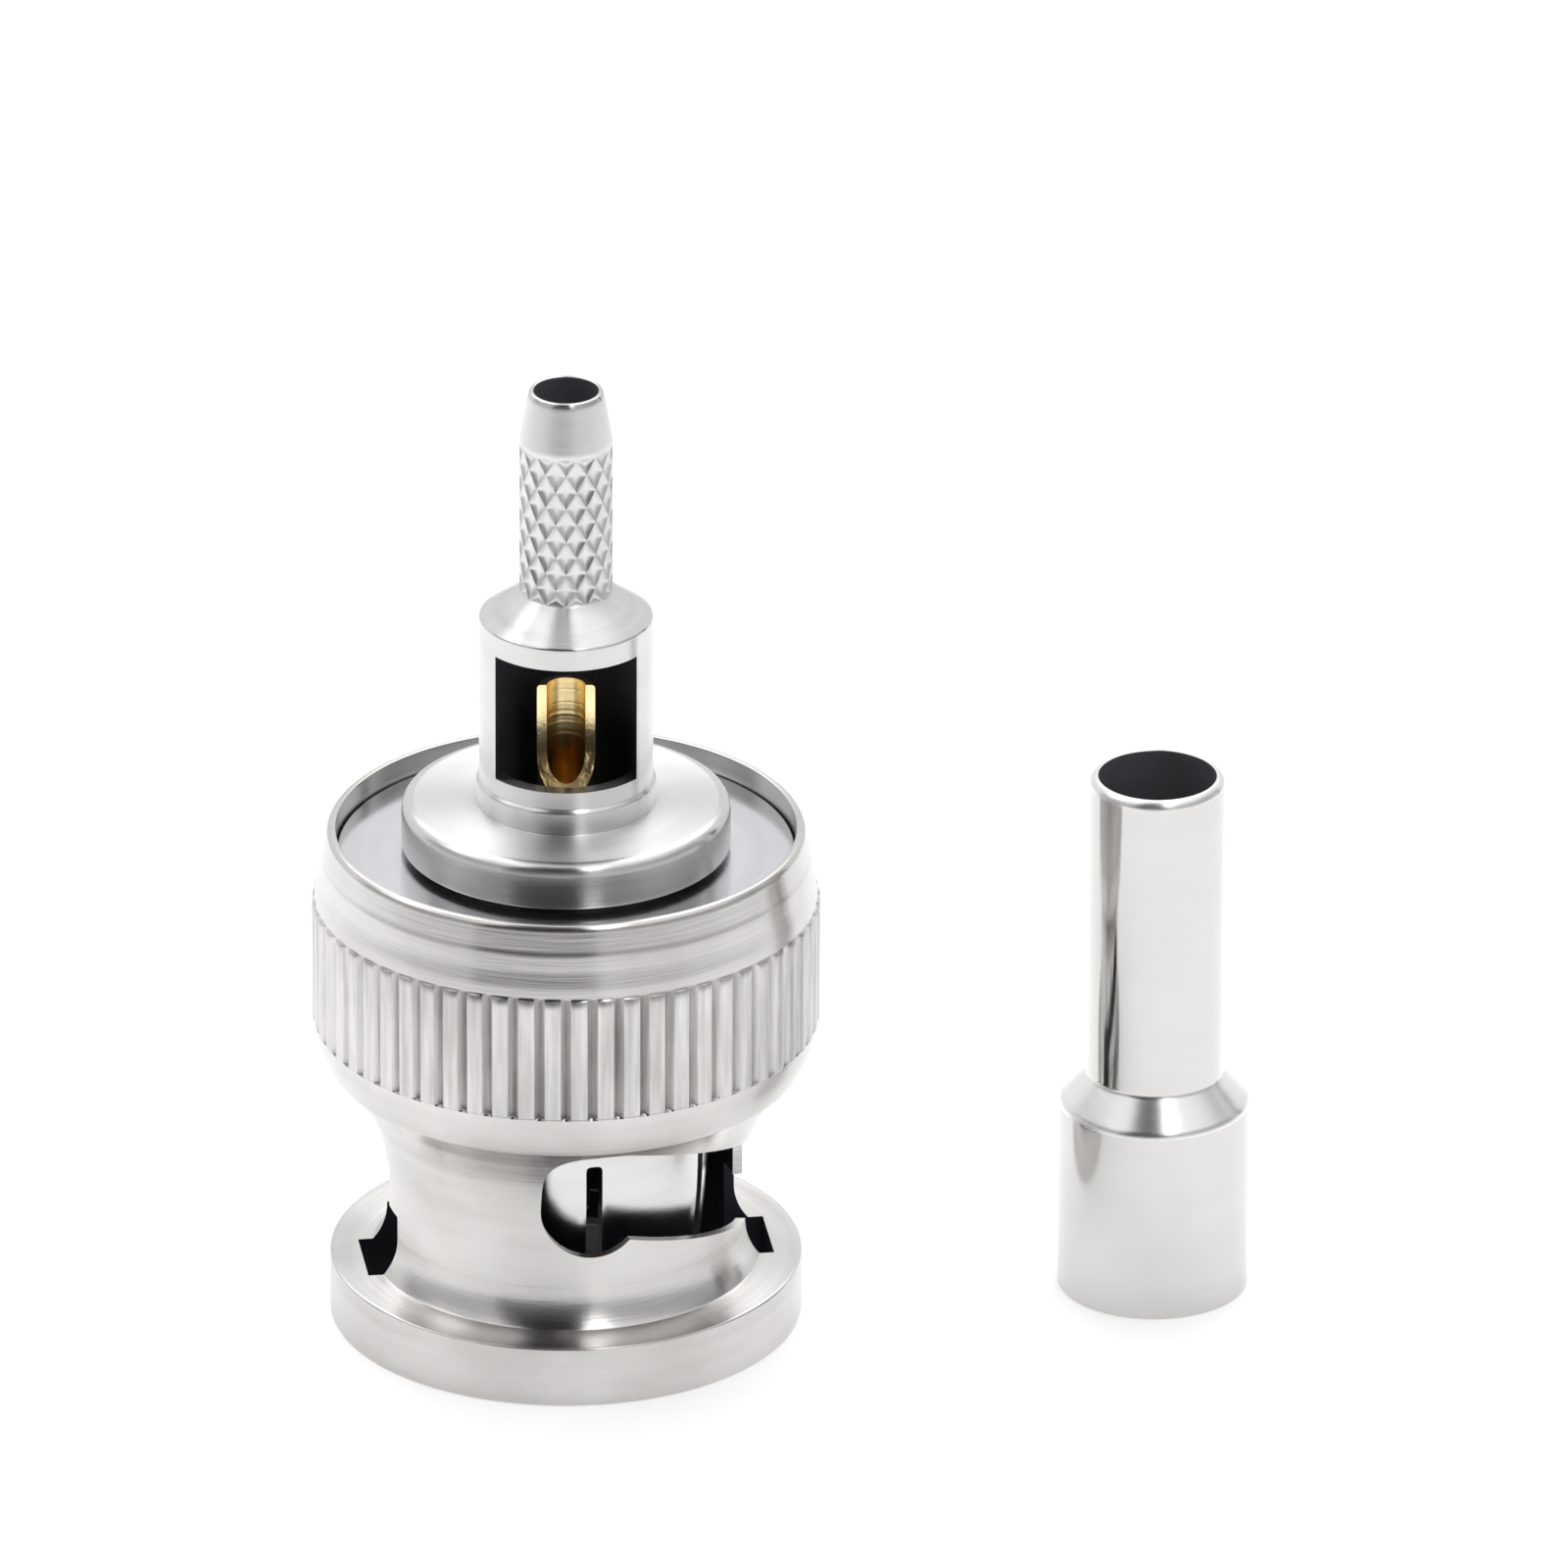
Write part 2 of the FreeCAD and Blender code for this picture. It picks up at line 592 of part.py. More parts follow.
def make_ferrule():
    """Stepped crimp sleeve that stands on its wide end beside the plug."""
    edge = "sizes.ferrule_edge"
    wide, small = "sizes.ferrule_wide_radius", "sizes.ferrule_small_radius"
    wide_bore, small_bore = f"({wide} - sizes.ferrule_wall)", f"({small} - sizes.ferrule_wall)"
    shoulder_end = "(sizes.ferrule_wide_length + sizes.ferrule_shoulder_length)"
    rear = "sizes.ferrule_length"
    lip = "sizes.ferrule_lip"
    body = turned_body(
        "ferrule",
        [
            line_to(wide_bore, "0"),
            line_to(f"{wide} - {edge}", "0"),
            line_to(wide, edge),
            line_to(wide, "sizes.ferrule_wide_length"),
            line_to(small, shoulder_end),
            line_to(small, f"{rear} - sizes.ferrule_lip_length"),
            line_to(f"{small} + {lip}", f"{rear} - {edge}"),
            line_to(f"{small} + {lip} - {edge}", rear),
            line_to(f"{small_bore} + {edge}", rear),
            line_to(small_bore, f"{rear} - {edge}"),
            line_to(small_bore, f"{shoulder_end} - sizes.ferrule_wall"),
            line_to(wide_bore, "sizes.ferrule_wide_length - sizes.ferrule_wall"),
        ],
    )
    body.setExpression("Placement.Base.x", "sizes.ferrule_side_distance")
    body.setExpression("Placement.Base.y", "sizes.ferrule_back_distance")
    return body


def make_spring_washer(name, foot, facing):
    """A flat ring bowed about one line, which stands on its two feet and rises in between.

    Its feet are at the height foot, and it rises towards the cable end (+) or the front (-).
    """
    reach = f"({WASHER_RIM} + sizes.edge_break)"
    bow = f"(({reach} ^ 2 + {SPRING_RISE} ^ 2) / (2 * {SPRING_RISE}))"
    turn = 1 if facing == "+" else -1
    crest = f"({foot} {facing} {SPRING_SPACE})"
    outer_level = f"({foot} {facing} sizes.spring_thickness)"
    front, rear = (foot, crest) if turn > 0 else (crest, foot)
    body = ring(name, WASHER_BORE, WASHER_RIM, front, rear)
    for side, level, beyond in (
        ("inside", foot, f"({foot} {facing} -{OVERRUN})"),
        ("outside", outer_level, f"({crest} {facing} {OVERRUN})"),
    ):
        outline = [
            line_to(f"-{reach}", beyond),
            line_to(reach, beyond),
            line_to(reach, level),
            arc_to(f"-{reach}", level, bow, turn),
        ]
        sketch = sketch_on(body, "XZ_Plane", f"{name}_{side}", outline)
        cut_pocket(body, sketch, f"(2 * {reach})", both_sides=True)
    return body


def check_and_write(pieces):
    """Stops on any failed object or bad solid, and then writes one file for each piece."""
    doc.recompute()
    for item in doc.Objects:
        if "Invalid" in item.State or "Error" in item.State:
            raise RuntimeError(f"{item.Label} is {item.State}")
    for piece in pieces:
        shape = piece.Shape
        if shape.isNull() or not shape.isValid() or not shape.Solids:
            raise RuntimeError(f"{piece.Label} has no valid solid")
    os.makedirs("parts", exist_ok=True)
    for piece in pieces:
        piece.Shape.exportStep(f"parts/{piece.Label}.step")
        box = piece.Shape.BoundBox
        print(
            f"{piece.Label}: {len(piece.Shape.Solids)} solid, {piece.Shape.Volume:.2f} mm3,"
            f" z {box.ZMin:.2f} to {box.ZMax:.2f}"
        )


check_and_write(
    [
        make_coupling_nut(),
        ring("retaining_washer", WASHER_BORE, RIM_BORE, RETAINER_FRONT, RETAINER_REAR),
        ring("thrust_washer", WASHER_BORE, WASHER_RIM, THRUST_FRONT, THRUST_REAR),
        make_spring_washer("spring_washer_front", f"({FLANGE_REAR} + sizes.spring_gap)", "+"),
        make_spring_washer("spring_washer_rear", f"({THRUST_FRONT} - sizes.spring_gap)", "-"),
        make_outer_contact(),
        make_gasket(),
        make_insulator(),
        make_centre_contact(),
        make_crimp_body(),
        make_ferrule(),
    ]
)
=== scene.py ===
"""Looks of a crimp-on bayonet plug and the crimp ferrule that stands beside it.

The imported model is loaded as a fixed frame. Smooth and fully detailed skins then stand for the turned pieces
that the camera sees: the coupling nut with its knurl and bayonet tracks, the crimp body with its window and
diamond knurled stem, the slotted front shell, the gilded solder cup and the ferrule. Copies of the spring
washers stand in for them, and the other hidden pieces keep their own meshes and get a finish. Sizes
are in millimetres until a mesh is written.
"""

from __future__ import annotations

import logging
import math
from collections.abc import Iterable, Sequence
from dataclasses import dataclass
from enum import Enum

import bmesh
import bpy
from mathutils import Matrix, Vector

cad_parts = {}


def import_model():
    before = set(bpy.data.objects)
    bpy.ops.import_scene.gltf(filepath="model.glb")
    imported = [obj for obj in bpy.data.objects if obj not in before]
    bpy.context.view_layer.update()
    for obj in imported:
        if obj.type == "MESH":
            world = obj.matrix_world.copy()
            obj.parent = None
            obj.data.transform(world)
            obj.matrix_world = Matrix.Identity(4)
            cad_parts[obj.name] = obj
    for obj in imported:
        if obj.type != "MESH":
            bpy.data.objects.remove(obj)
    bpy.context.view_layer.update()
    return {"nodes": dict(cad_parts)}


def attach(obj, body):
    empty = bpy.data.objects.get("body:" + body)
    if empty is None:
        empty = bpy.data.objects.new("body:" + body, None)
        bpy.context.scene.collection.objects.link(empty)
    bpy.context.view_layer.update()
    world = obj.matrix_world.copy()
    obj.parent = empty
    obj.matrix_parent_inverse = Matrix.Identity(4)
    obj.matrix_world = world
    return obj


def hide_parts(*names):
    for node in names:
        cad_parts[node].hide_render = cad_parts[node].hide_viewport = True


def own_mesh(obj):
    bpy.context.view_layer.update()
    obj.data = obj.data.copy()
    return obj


LOG = logging.getLogger("bayonet_plug")
MM = 0.001
MERGE_DISTANCE = 2e-7
# Columns of a turned skin that has no repeated cells
ROUND_COLUMNS = 240

Point = tuple[float, float]


class Lay(Enum):
    """Which way the fine marks on a metal surface run."""

    ROUND = "round"
    ALONG = "along"


class Turn(Enum):
    """Which way an arc of an outline bends on its way."""

    LEFT = 1
    RIGHT = -1


class PanelSpan(Enum):
    """How the sides of a panel of the surroundings are measured."""

    BEARING = "bearing"
    OVERHEAD = "overhead"


class Band(Enum):
    """The three kinds of cell that a diamond knurl is made of."""

    DIAMOND = "diamond"
    FRONT_HALF = "front_half"
    REAR_HALF = "rear_half"


# Outlines, turned skins and cuts


class Outline:
    """Half section of a turned piece, drawn corner by corner as radius and height in millimetres.

    Corners are rounded, and every straight run has a guard point near each end, so that smooth shading stays
    flat on the flats and turns only in the roundings.
    """

    ROUNDING_STEPS = 4
    GUARD = 0.03

    def __init__(self) -> None:
        """Starts an empty outline."""
        self._corners: list[tuple[float, float, float]] = []

    def to(self, radius: float, height: float, rounding: float = 0.03) -> Outline:
        """Adds a corner, rounded for a length along each side, and returns the outline itself."""
        self._corners.append((radius, height, rounding))
        return self

    def arc_to(self, radius: float, height: float, bend: float, turn: Turn, steps: int = 18) -> Outline:
        """Adds a circular arc from the last corner to a new one.

        Args:
            radius: Distance of the arc's end from the axis.
            height: Height of the arc's end.
            bend: Radius of the arc.
            turn: Which way the arc bends.
            steps: Number of straight steps that it is made of.

        Returns:
            The outline itself, for the next corner.
        """
        start, end = Vector(self._corners[-1][:2]), Vector((radius, height))
        chord = end - start
        sideways = Vector((-chord.y, chord.x)).normalized() * turn.value
        centre = (start + end) / 2 + sideways * math.sqrt(max(bend**2 - chord.length_squared / 4, 0.0))
        spoke = start - centre
        sweep = 2 * math.asin(min(chord.length / (2 * bend), 1.0)) * turn.value
        for step in range(1, steps + 1):
            point = centre + Matrix.Rotation(sweep * step / steps, 2) @ spoke
            self._corners.append((point.x, point.y, 0.0))
        return self

    def points(self, closed: bool = True) -> list[Point]:
        """The outline's points, with rounded corners and guard points.

        Args:
            closed: Whether the last corner joins the first.

        Returns:
            Radius and height of each point, in order.
        """
        corners = self._corners
        count = len(corners)
        trimmed: list[list[Vector]] = []
        for index, (radius, height, rounding) in enumerate(corners):
            corner = Vector((radius, height))
            at_end = not closed and index in (0, count - 1)
            if rounding <= 0 or at_end:
                trimmed.append([corner])
                continue
            before = Vector(corners[index - 1][:2]) - corner
            after = Vector(corners[(index + 1) % count][:2]) - corner
            start = corner + before.normalized() * min(rounding, 0.4 * before.length)
            end = corner + after.normalized() * min(rounding, 0.4 * after.length)
            shares = [step / self.ROUNDING_STEPS for step in range(self.ROUNDING_STEPS + 1)]
            trimmed.append([start * (1 - s) ** 2 + corner * 2 * s * (1 - s) + end * s**2 for s in shares])
        points: list[Point] = []
        for index, cluster in enumerate(trimmed):
            points.extend((p.x, p.y) for p in cluster)
            if not closed and index == count - 1:
                break
            here, there = cluster[-1], trimmed[(index + 1) % count][0]
            run = there - here
            if run.length > 4 * self.GUARD:
                step = run.normalized() * self.GUARD
                points.append(((here + step).x, (here + step).y))
                points.append(((there - step).x, (there - step).y))
        return points


def even_angles(count: int) -> list[float]:
    """Angles in radians that divide a full turn evenly."""
    return [2 * math.pi * index / count for index in range(count)]


def place(radius: float, angle: float, height: float) -> Vector:
    """A point in metres, from its radius, its angle from the front (-Y) towards +X, and its height."""
    return Vector((radius * math.sin(angle), -radius * math.cos(angle), height)) * MM


def lathe(points: Sequence[Point], angles: Sequence[float], closed: bool = True) -> bmesh.types.BMesh:
    """Turns an outline about the axis.

    Args:
        points: Radius and height of each point of the outline.
        angles: The angles at which the skin has a column of corners.
        closed: Whether the outline's last point joins its first.

    Returns:
        The skin as an editable mesh in metres.
    """
    skin = bmesh.new()
    columns = [
        [skin.verts.new(place(radius, angle, height)) for radius, height in points]
        for angle in angles
    ]
    last = len(points) if closed else len(points) - 1
    for index, column in enumerate(columns):
        following = columns[(index + 1) % len(columns)]
        for row in range(last):
            above = (row + 1) % len(points)
            skin.faces.new((column[row], following[row], following[above], column[above]))
    return skin


def joined(*skins: bmesh.types.BMesh) -> bmesh.types.BMesh:
    """Sews skins together where their corners meet, and turns all faces outwards.

    Args:
        *skins: The skins, which are used up.

    Returns:
        One closed skin.
    """
    whole = skins[0]
    for skin in skins[1:]:
        spare = bpy.data.meshes.new("spare")
        skin.to_mesh(spare)
        whole.from_mesh(spare)
        bpy.data.meshes.remove(spare)
        skin.free()
    bmesh.ops.remove_doubles(whole, verts=whole.verts, dist=MERGE_DISTANCE)
    bmesh.ops.dissolve_degenerate(whole, dist=MERGE_DISTANCE / 4, edges=whole.edges)
    bmesh.ops.recalc_face_normals(whole, faces=whole.faces)
    return whole


def as_mesh(name: str, skin: bmesh.types.BMesh) -> bpy.types.Mesh:
    """Writes an editable skin into a new mesh.

    Args:
        name: The mesh's name.
        skin: The skin, which is used up.

    Returns:
        The mesh.
    """
    mesh = bpy.data.meshes.new(name)
    skin.to_mesh(mesh)
    skin.free()
    return mesh


def as_object(name: str, mesh: bpy.types.Mesh) -> bpy.types.Object:
    """Puts a mesh in the scene.

    Args:
        name: The new object's name.
        mesh: The mesh that it shows.

    Returns:
        The object.
    """
    piece = bpy.data.objects.new(name, mesh)
    bpy.context.scene.collection.objects.link(piece)
    return piece


def evaluated_mesh(name: str, source: bpy.types.Object) -> bpy.types.Mesh:
    """Turns an object with modifiers into a plain mesh.

    Args:
        name: The new mesh's name.
        source: The object, which is removed with its own mesh.

    Returns:
        The mesh with the modifiers' result.
    """
    bpy.context.view_layer.update()
    graph = bpy.context.evaluated_depsgraph_get()
    mesh = bpy.data.meshes.new_from_object(source.evaluated_get(graph))
    mesh.name = name
    spent = source.data
    bpy.data.objects.remove(source)
    bpy.data.meshes.remove(spent)
    return mesh


def prism(section: Sequence[Vector], sweep: Vector) -> bmesh.types.BMesh:
    """A closed prism: a flat section in millimetres, swept along a vector.

    Args:
        section: The section's corners, in order.
        sweep: How far and which way the section is swept.

    Returns:
        The prism as an editable mesh in metres.
    """
    skin = bmesh.new()
    near = [skin.verts.new(corner * MM) for corner in section]
    far = [skin.verts.new((corner + sweep) * MM) for corner in section]
    skin.faces.new(near)
    skin.faces.new(list(reversed(far)))
    for index in range(len(section)):
        after = (index + 1) % len(section)
        skin.faces.new((near[after], near[index], far[index], far[after]))
    bmesh.ops.recalc_face_normals(skin, faces=skin.faces)
    return skin


def cut(blank: bpy.types.Mesh, cutter: bmesh.types.BMesh) -> bpy.types.Mesh:
    """Cuts one closed shape out of another.

    Args:
        blank: The mesh that is cut, which is used up.
        cutter: The shape to take away, which is used up.

    Returns:
        The cut mesh.
    """
    tool = as_object("tool", as_mesh("tool", cutter))
    work = as_object("work", blank)
    modifier = work.modifiers.new("cut", "BOOLEAN")
    modifier.operation = "DIFFERENCE"
    modifier.solver = "MANIFOLD"
    modifier.object = tool
    mesh = evaluated_mesh("cut", work)
    spent = tool.data
    bpy.data.objects.remove(tool)
    bpy.data.meshes.remove(spent)
    return mesh


# Repeats round the axis, made by Geometry Nodes


class RoundArray:
    """Repeats one cell round the axis and up it, row by row, with each row turned a share of a cell on."""

    def __init__(self) -> None:
        """Builds the node tree once, for every repeated pattern of the object."""
        self.tree = bpy.data.node_groups.new("round_array", "GeometryNodeTree")
        self.inputs: dict[str, str] = {}
        self._declare("Geometry", "NodeSocketGeometry")
        self._declare("Around", "NodeSocketInt")
        self._declare("Rows", "NodeSocketInt")
        self._declare("Row Height", "NodeSocketFloat")
        self._declare("Row Turn", "NodeSocketFloat")
        self._declare("Merge Distance", "NodeSocketFloat")
        self._declare("Finish", "NodeSocketMaterial")
        self.tree.interface.new_socket("Geometry", in_out="OUTPUT", socket_type="NodeSocketGeometry")
        self._wire()

    def _declare(self, name: str, kind: str) -> None:
        """Adds a named input to the tree and keeps its identifier."""
        socket = self.tree.interface.new_socket(name, in_out="INPUT", socket_type=kind)
        self.inputs[name] = socket.identifier

    def _math(self, operation: str, first: object, second: object) -> bpy.types.NodeSocket:
        """A Math node over two sockets or numbers.

        Args:
            operation: The node's operation.
            first: A socket or a number.
            second: A socket or a number.

        Returns:
            The node's result.
        """
        node = self.tree.nodes.new("ShaderNodeMath")
        node.operation = operation
        for socket, value in zip(node.inputs, (first, second)):
            if isinstance(value, bpy.types.NodeSocket):
                self.tree.links.new(value, socket)
            else:
                socket.default_value = value
        return node.outputs[0]

    def _wire(self) -> None:
        """Puts one point per cell, then a cell on each point, and makes them one mesh."""
        nodes, links = self.tree.nodes, self.tree.links
        given = nodes.new("NodeGroupInput").outputs
        line = nodes.new("GeometryNodeMeshLine")
        index = nodes.new("GeometryNodeInputIndex").outputs[0]
        row = self._math("FLOOR", self._math("DIVIDE", index, given["Around"]), 0.0)
        cells = self._math("ADD", index, self._math("MULTIPLY", row, given["Row Turn"]))
        angle = self._math("MULTIPLY", cells, self._math("DIVIDE", 2 * math.pi, given["Around"]))
        rise = nodes.new("ShaderNodeCombineXYZ")
        spin = nodes.new("ShaderNodeCombineXYZ")
        lift = nodes.new("GeometryNodeSetPosition")
        cover = nodes.new("GeometryNodeInstanceOnPoints")
        real = nodes.new("GeometryNodeRealizeInstances")
        merge = nodes.new("GeometryNodeMergeByDistance")
        dress = nodes.new("GeometryNodeSetMaterial")
        result = nodes.new("NodeGroupOutput")
        line.inputs["Offset"].default_value = (0.0, 0.0, 0.0)
        links.new(self._math("MULTIPLY", given["Around"], given["Rows"]), line.inputs["Count"])
        links.new(self._math("MULTIPLY", row, given["Row Height"]), rise.inputs["Z"])
        links.new(angle, spin.inputs["Z"])
        links.new(line.outputs["Mesh"], lift.inputs["Geometry"])
        links.new(rise.outputs[0], lift.inputs["Offset"])
        links.new(lift.outputs[0], cover.inputs["Points"])
        links.new(given["Geometry"], cover.inputs["Instance"])
        links.new(spin.outputs[0], cover.inputs["Rotation"])
        links.new(cover.outputs[0], real.inputs[0])
        links.new(real.outputs[0], merge.inputs["Geometry"])
        links.new(given["Merge Distance"], merge.inputs["Distance"])
        links.new(merge.outputs[0], dress.inputs["Geometry"])
        links.new(given["Finish"], dress.inputs["Material"])
        links.new(dress.outputs[0], result.inputs[0])

    def repeat(
        self,
        cell: bmesh.types.BMesh,
        finish: bpy.types.Material,
        around: int,
        rows: int = 1,
        row_height: float = 0.0,
        row_turn: float = 0.0,
    ) -> bmesh.types.BMesh:
        """Repeats a cell.

        Args:
            cell: The cell, in place at the front, which is used up.
            finish: The material that the cells get.
            around: Number of cells in a row.
            rows: Number of rows.
            row_height: Step from row to row, in millimetres.
            row_turn: Share of a cell by which each row is turned on.

        Returns:
            All the cells as one editable mesh.
        """
        carrier = as_object("cell", as_mesh("cell", cell))
        modifier = carrier.modifiers.new("round_array", "NODES")
        modifier.node_group = self.tree
        modifier[self.inputs["Around"]] = around
        modifier[self.inputs["Rows"]] = rows
        modifier[self.inputs["Row Height"]] = row_height * MM
        modifier[self.inputs["Row Turn"]] = row_turn
        modifier[self.inputs["Merge Distance"]] = MERGE_DISTANCE
        modifier[self.inputs["Finish"]] = finish
        mesh = evaluated_mesh("cells", carrier)
        cells = bmesh.new()
        cells.from_mesh(mesh)
        bpy.data.meshes.remove(mesh)
        return cells


# Finishes


class Bench:
    """A shader tree while it is being written, for a material or for the surroundings."""

    def __init__(self, tree: bpy.types.NodeTree) -> None:
        """Takes the tree up."""
        self.nodes = tree.nodes
        self.links = tree.links

    def put(self, socket: bpy.types.NodeSocket, value: object) -> None:
        """Links a socket's source, or sets its number or colour.

        Args:
            socket: An input socket.
            value: The socket that it takes its value from, or the value itself.
        """
        if isinstance(value, bpy.types.NodeSocket):
            self.links.new(value, socket)
        else:
            socket.default_value = value

    def node(self, kind: str, **inputs: object) -> bpy.types.Node:
        """A new node.

        Args:
            kind: The node's type.
            **inputs: Values or sources for its inputs, with underscores for spaces in their names.

        Returns:
            The node.
        """
        node = self.nodes.new(kind)
        for name, value in inputs.items():
            self.put(node.inputs[name.replace("_", " ")], value)
        return node

    def math(self, operation: str, first: object, second: object = 0.0) -> bpy.types.NodeSocket:
        """Adds a Math node.

        Args:
            operation: The node's operation.
            first: A socket or a number.
            second: A socket or a number.

        Returns:
            The node's result.
        """
        node = self.nodes.new("ShaderNodeMath")
        node.operation = operation
        self.put(node.inputs[0], first)
        self.put(node.inputs[1], second)
        return node.outputs[0]

    def spread(
        self, value: object, low: float, high: float, since: float = 0.0, until: float = 1.0
    ) -> bpy.types.NodeSocket:
        """Maps a value smoothly from one range to another.

        Args:
            value: A socket or a number.
            low: The result at the range's start.
            high: The result at its end.
            since: Where the value's range starts.
            until: Where it ends.

        Returns:
            The mapped value.
        """
        node = self.nodes.new("ShaderNodeMapRange")
        node.interpolation_type = "SMOOTHSTEP"
        self.put(node.inputs["Value"], value)
        node.inputs["From Min"].default_value = since
        node.inputs["From Max"].default_value = until
        node.inputs["To Min"].default_value = low
        node.inputs["To Max"].default_value = high
        return node.outputs["Result"]

    def within(
        self, value: bpy.types.NodeSocket, low: float, high: float, soft: float
    ) -> bpy.types.NodeSocket:
        """Tells whether a value lies between two limits.

        Args:
            value: The value.
            low: Lower limit.
            high: Upper limit.
            soft: How far the result fades on each side of a limit.

        Returns:
            One between the limits, and zero beyond them.
        """
        rising = self.spread(value, 0.0, 1.0, low - soft, low + soft)
        falling = self.spread(value, 1.0, 0.0, high - soft, high + soft)
        return self.math("MULTIPLY", rising, falling)

    def tones(
        self, value: bpy.types.NodeSocket, stops: Sequence[tuple[float, tuple[float, float, float]]]
    ) -> bpy.types.NodeSocket:
        """A colour ramp over a value.

        Args:
            value: The value, from 0 to 1.
            stops: Place and colour of each stop.

        Returns:
            The ramp's colour.
        """
        ramp = self.nodes.new("ShaderNodeValToRGB")
        self.put(ramp.inputs[0], value)
        elements = ramp.color_ramp.elements
        while len(elements) < len(stops):
            elements.new(0.5)
        for element, (position, colour) in zip(elements, stops):
            element.position = position
            element.color = (*colour, 1.0)
        return ramp.outputs[0]

    def noise(self, source: bpy.types.NodeSocket, scale: float, detail: float = 4.0) -> bpy.types.NodeSocket:
        """A noise value over a position."""
        return self.node("ShaderNodeTexNoise", Vector=source, Scale=scale, Detail=detail).outputs[0]


class Recipe(Bench):
    """A material while it is being written."""

    def __init__(self, name: str) -> None:
        """Starts a material with one Principled shader.

        Args:
            name: The material's name.
        """
        self.material = bpy.data.materials.new(name)
        self.material.use_nodes = True
        super().__init__(self.material.node_tree)
        self.shader = self.nodes["Principled BSDF"]

    def position(self) -> bpy.types.NodeSocket:
        """Object coordinates."""
        return self.nodes.new("ShaderNodeTexCoord").outputs["Object"]

    def bump(self, height: bpy.types.NodeSocket, depth: float) -> bpy.types.NodeSocket:
        """A bump normal over a height from 0 to 1, with its depth in millimetres."""
        return self.node("ShaderNodeBump", Height=height, Distance=depth * MM).outputs[0]


@dataclass(frozen=True)
class MetalFinish:
    """A plated metal surface with the marks of its making.

    The marks run round the axis that the piece was turned about, or along it, so the noise behind them is
    stretched that way. Round the axis it is read at the point's height and distance from the axis, and hardly
    at its angle. A cloudy noise that isn't stretched is mixed into the colour alone.
    """

    name: str
    colour: tuple[float, float, float]
    shade: tuple[float, float, float]
    roughness: float
    line_depth: float = 0.002
    line_scale: float = 9000.0
    streak_turn: float = 0.3
    anisotropy: float = 0.6
    lay: Lay = Lay.ROUND
    axis: tuple[float, float] = (0.0, 0.0)

    def material(self) -> bpy.types.Material:
        """Builds the finish.

        Returns:
            The material.
        """
        recipe = Recipe(self.name)
        centred = recipe.node("ShaderNodeMapping", Vector=recipe.position())
        centred.inputs["Location"].default_value = (-self.axis[0] * MM, -self.axis[1] * MM, 0.0)
        east, north, height = recipe.node("ShaderNodeSeparateXYZ", Vector=centred.outputs[0]).outputs
        flat = recipe.node("ShaderNodeCombineXYZ", X=east, Y=north).outputs[0]
        length = recipe.nodes.new("ShaderNodeVectorMath")
        length.operation = "LENGTH"
        recipe.put(length.inputs[0], flat)
        across = length.outputs["Value"]
        turn = recipe.math("MULTIPLY", recipe.math("DIVIDE", east, across), self.streak_turn * MM)
        other = recipe.math("MULTIPLY", recipe.math("DIVIDE", north, across), self.streak_turn * MM)
        if self.lay is Lay.ROUND:
            wound = recipe.node("ShaderNodeCombineXYZ", X=turn, Y=recipe.math("ADD", other, across), Z=height)
        else:
            drawn = recipe.math("MULTIPLY", height, 0.06)
            wound = recipe.node("ShaderNodeCombineXYZ", X=east, Y=north, Z=drawn)
        lines = recipe.noise(wound.outputs[0], self.line_scale, 2.0)
        broad = recipe.noise(wound.outputs[0], self.line_scale / 7, 3.0)
        cloud = recipe.noise(recipe.position(), 260.0, 5.0)
        shader = recipe.shader
        shader.inputs["Metallic"].default_value = 1.0
        marks = lines if self.lay is Lay.ALONG else broad
        tone = recipe.math("MULTIPLY", recipe.math("ADD", marks, cloud), 0.5)
        recipe.put(shader.inputs["Base Color"], recipe.tones(tone, [(0.38, self.shade), (0.6, self.colour)]))
        dullness = recipe.spread(broad, self.roughness * 0.8, self.roughness * 1.25)
        recipe.put(shader.inputs["Roughness"], dullness)
        if self.anisotropy > 0:
            around = recipe.node("ShaderNodeCombineXYZ", X=recipe.math("MULTIPLY", north, -1.0), Y=east)
            turned = recipe.node("ShaderNodeVectorTransform", Vector=around.outputs[0])
            turned.vector_type = "VECTOR"
            turned.convert_from, turned.convert_to = "OBJECT", "WORLD"
            unit = recipe.nodes.new("ShaderNodeVectorMath")
            unit.operation = "NORMALIZE"
            recipe.put(unit.inputs[0], turned.outputs[0])
            recipe.put(shader.inputs["Tangent"], unit.outputs[0])
            shader.inputs["Anisotropic"].default_value = self.anisotropy
            shader.inputs["Anisotropic Rotation"].default_value = 0.25
        recipe.put(shader.inputs["Normal"], recipe.bump(lines, self.line_depth))
        return recipe.material


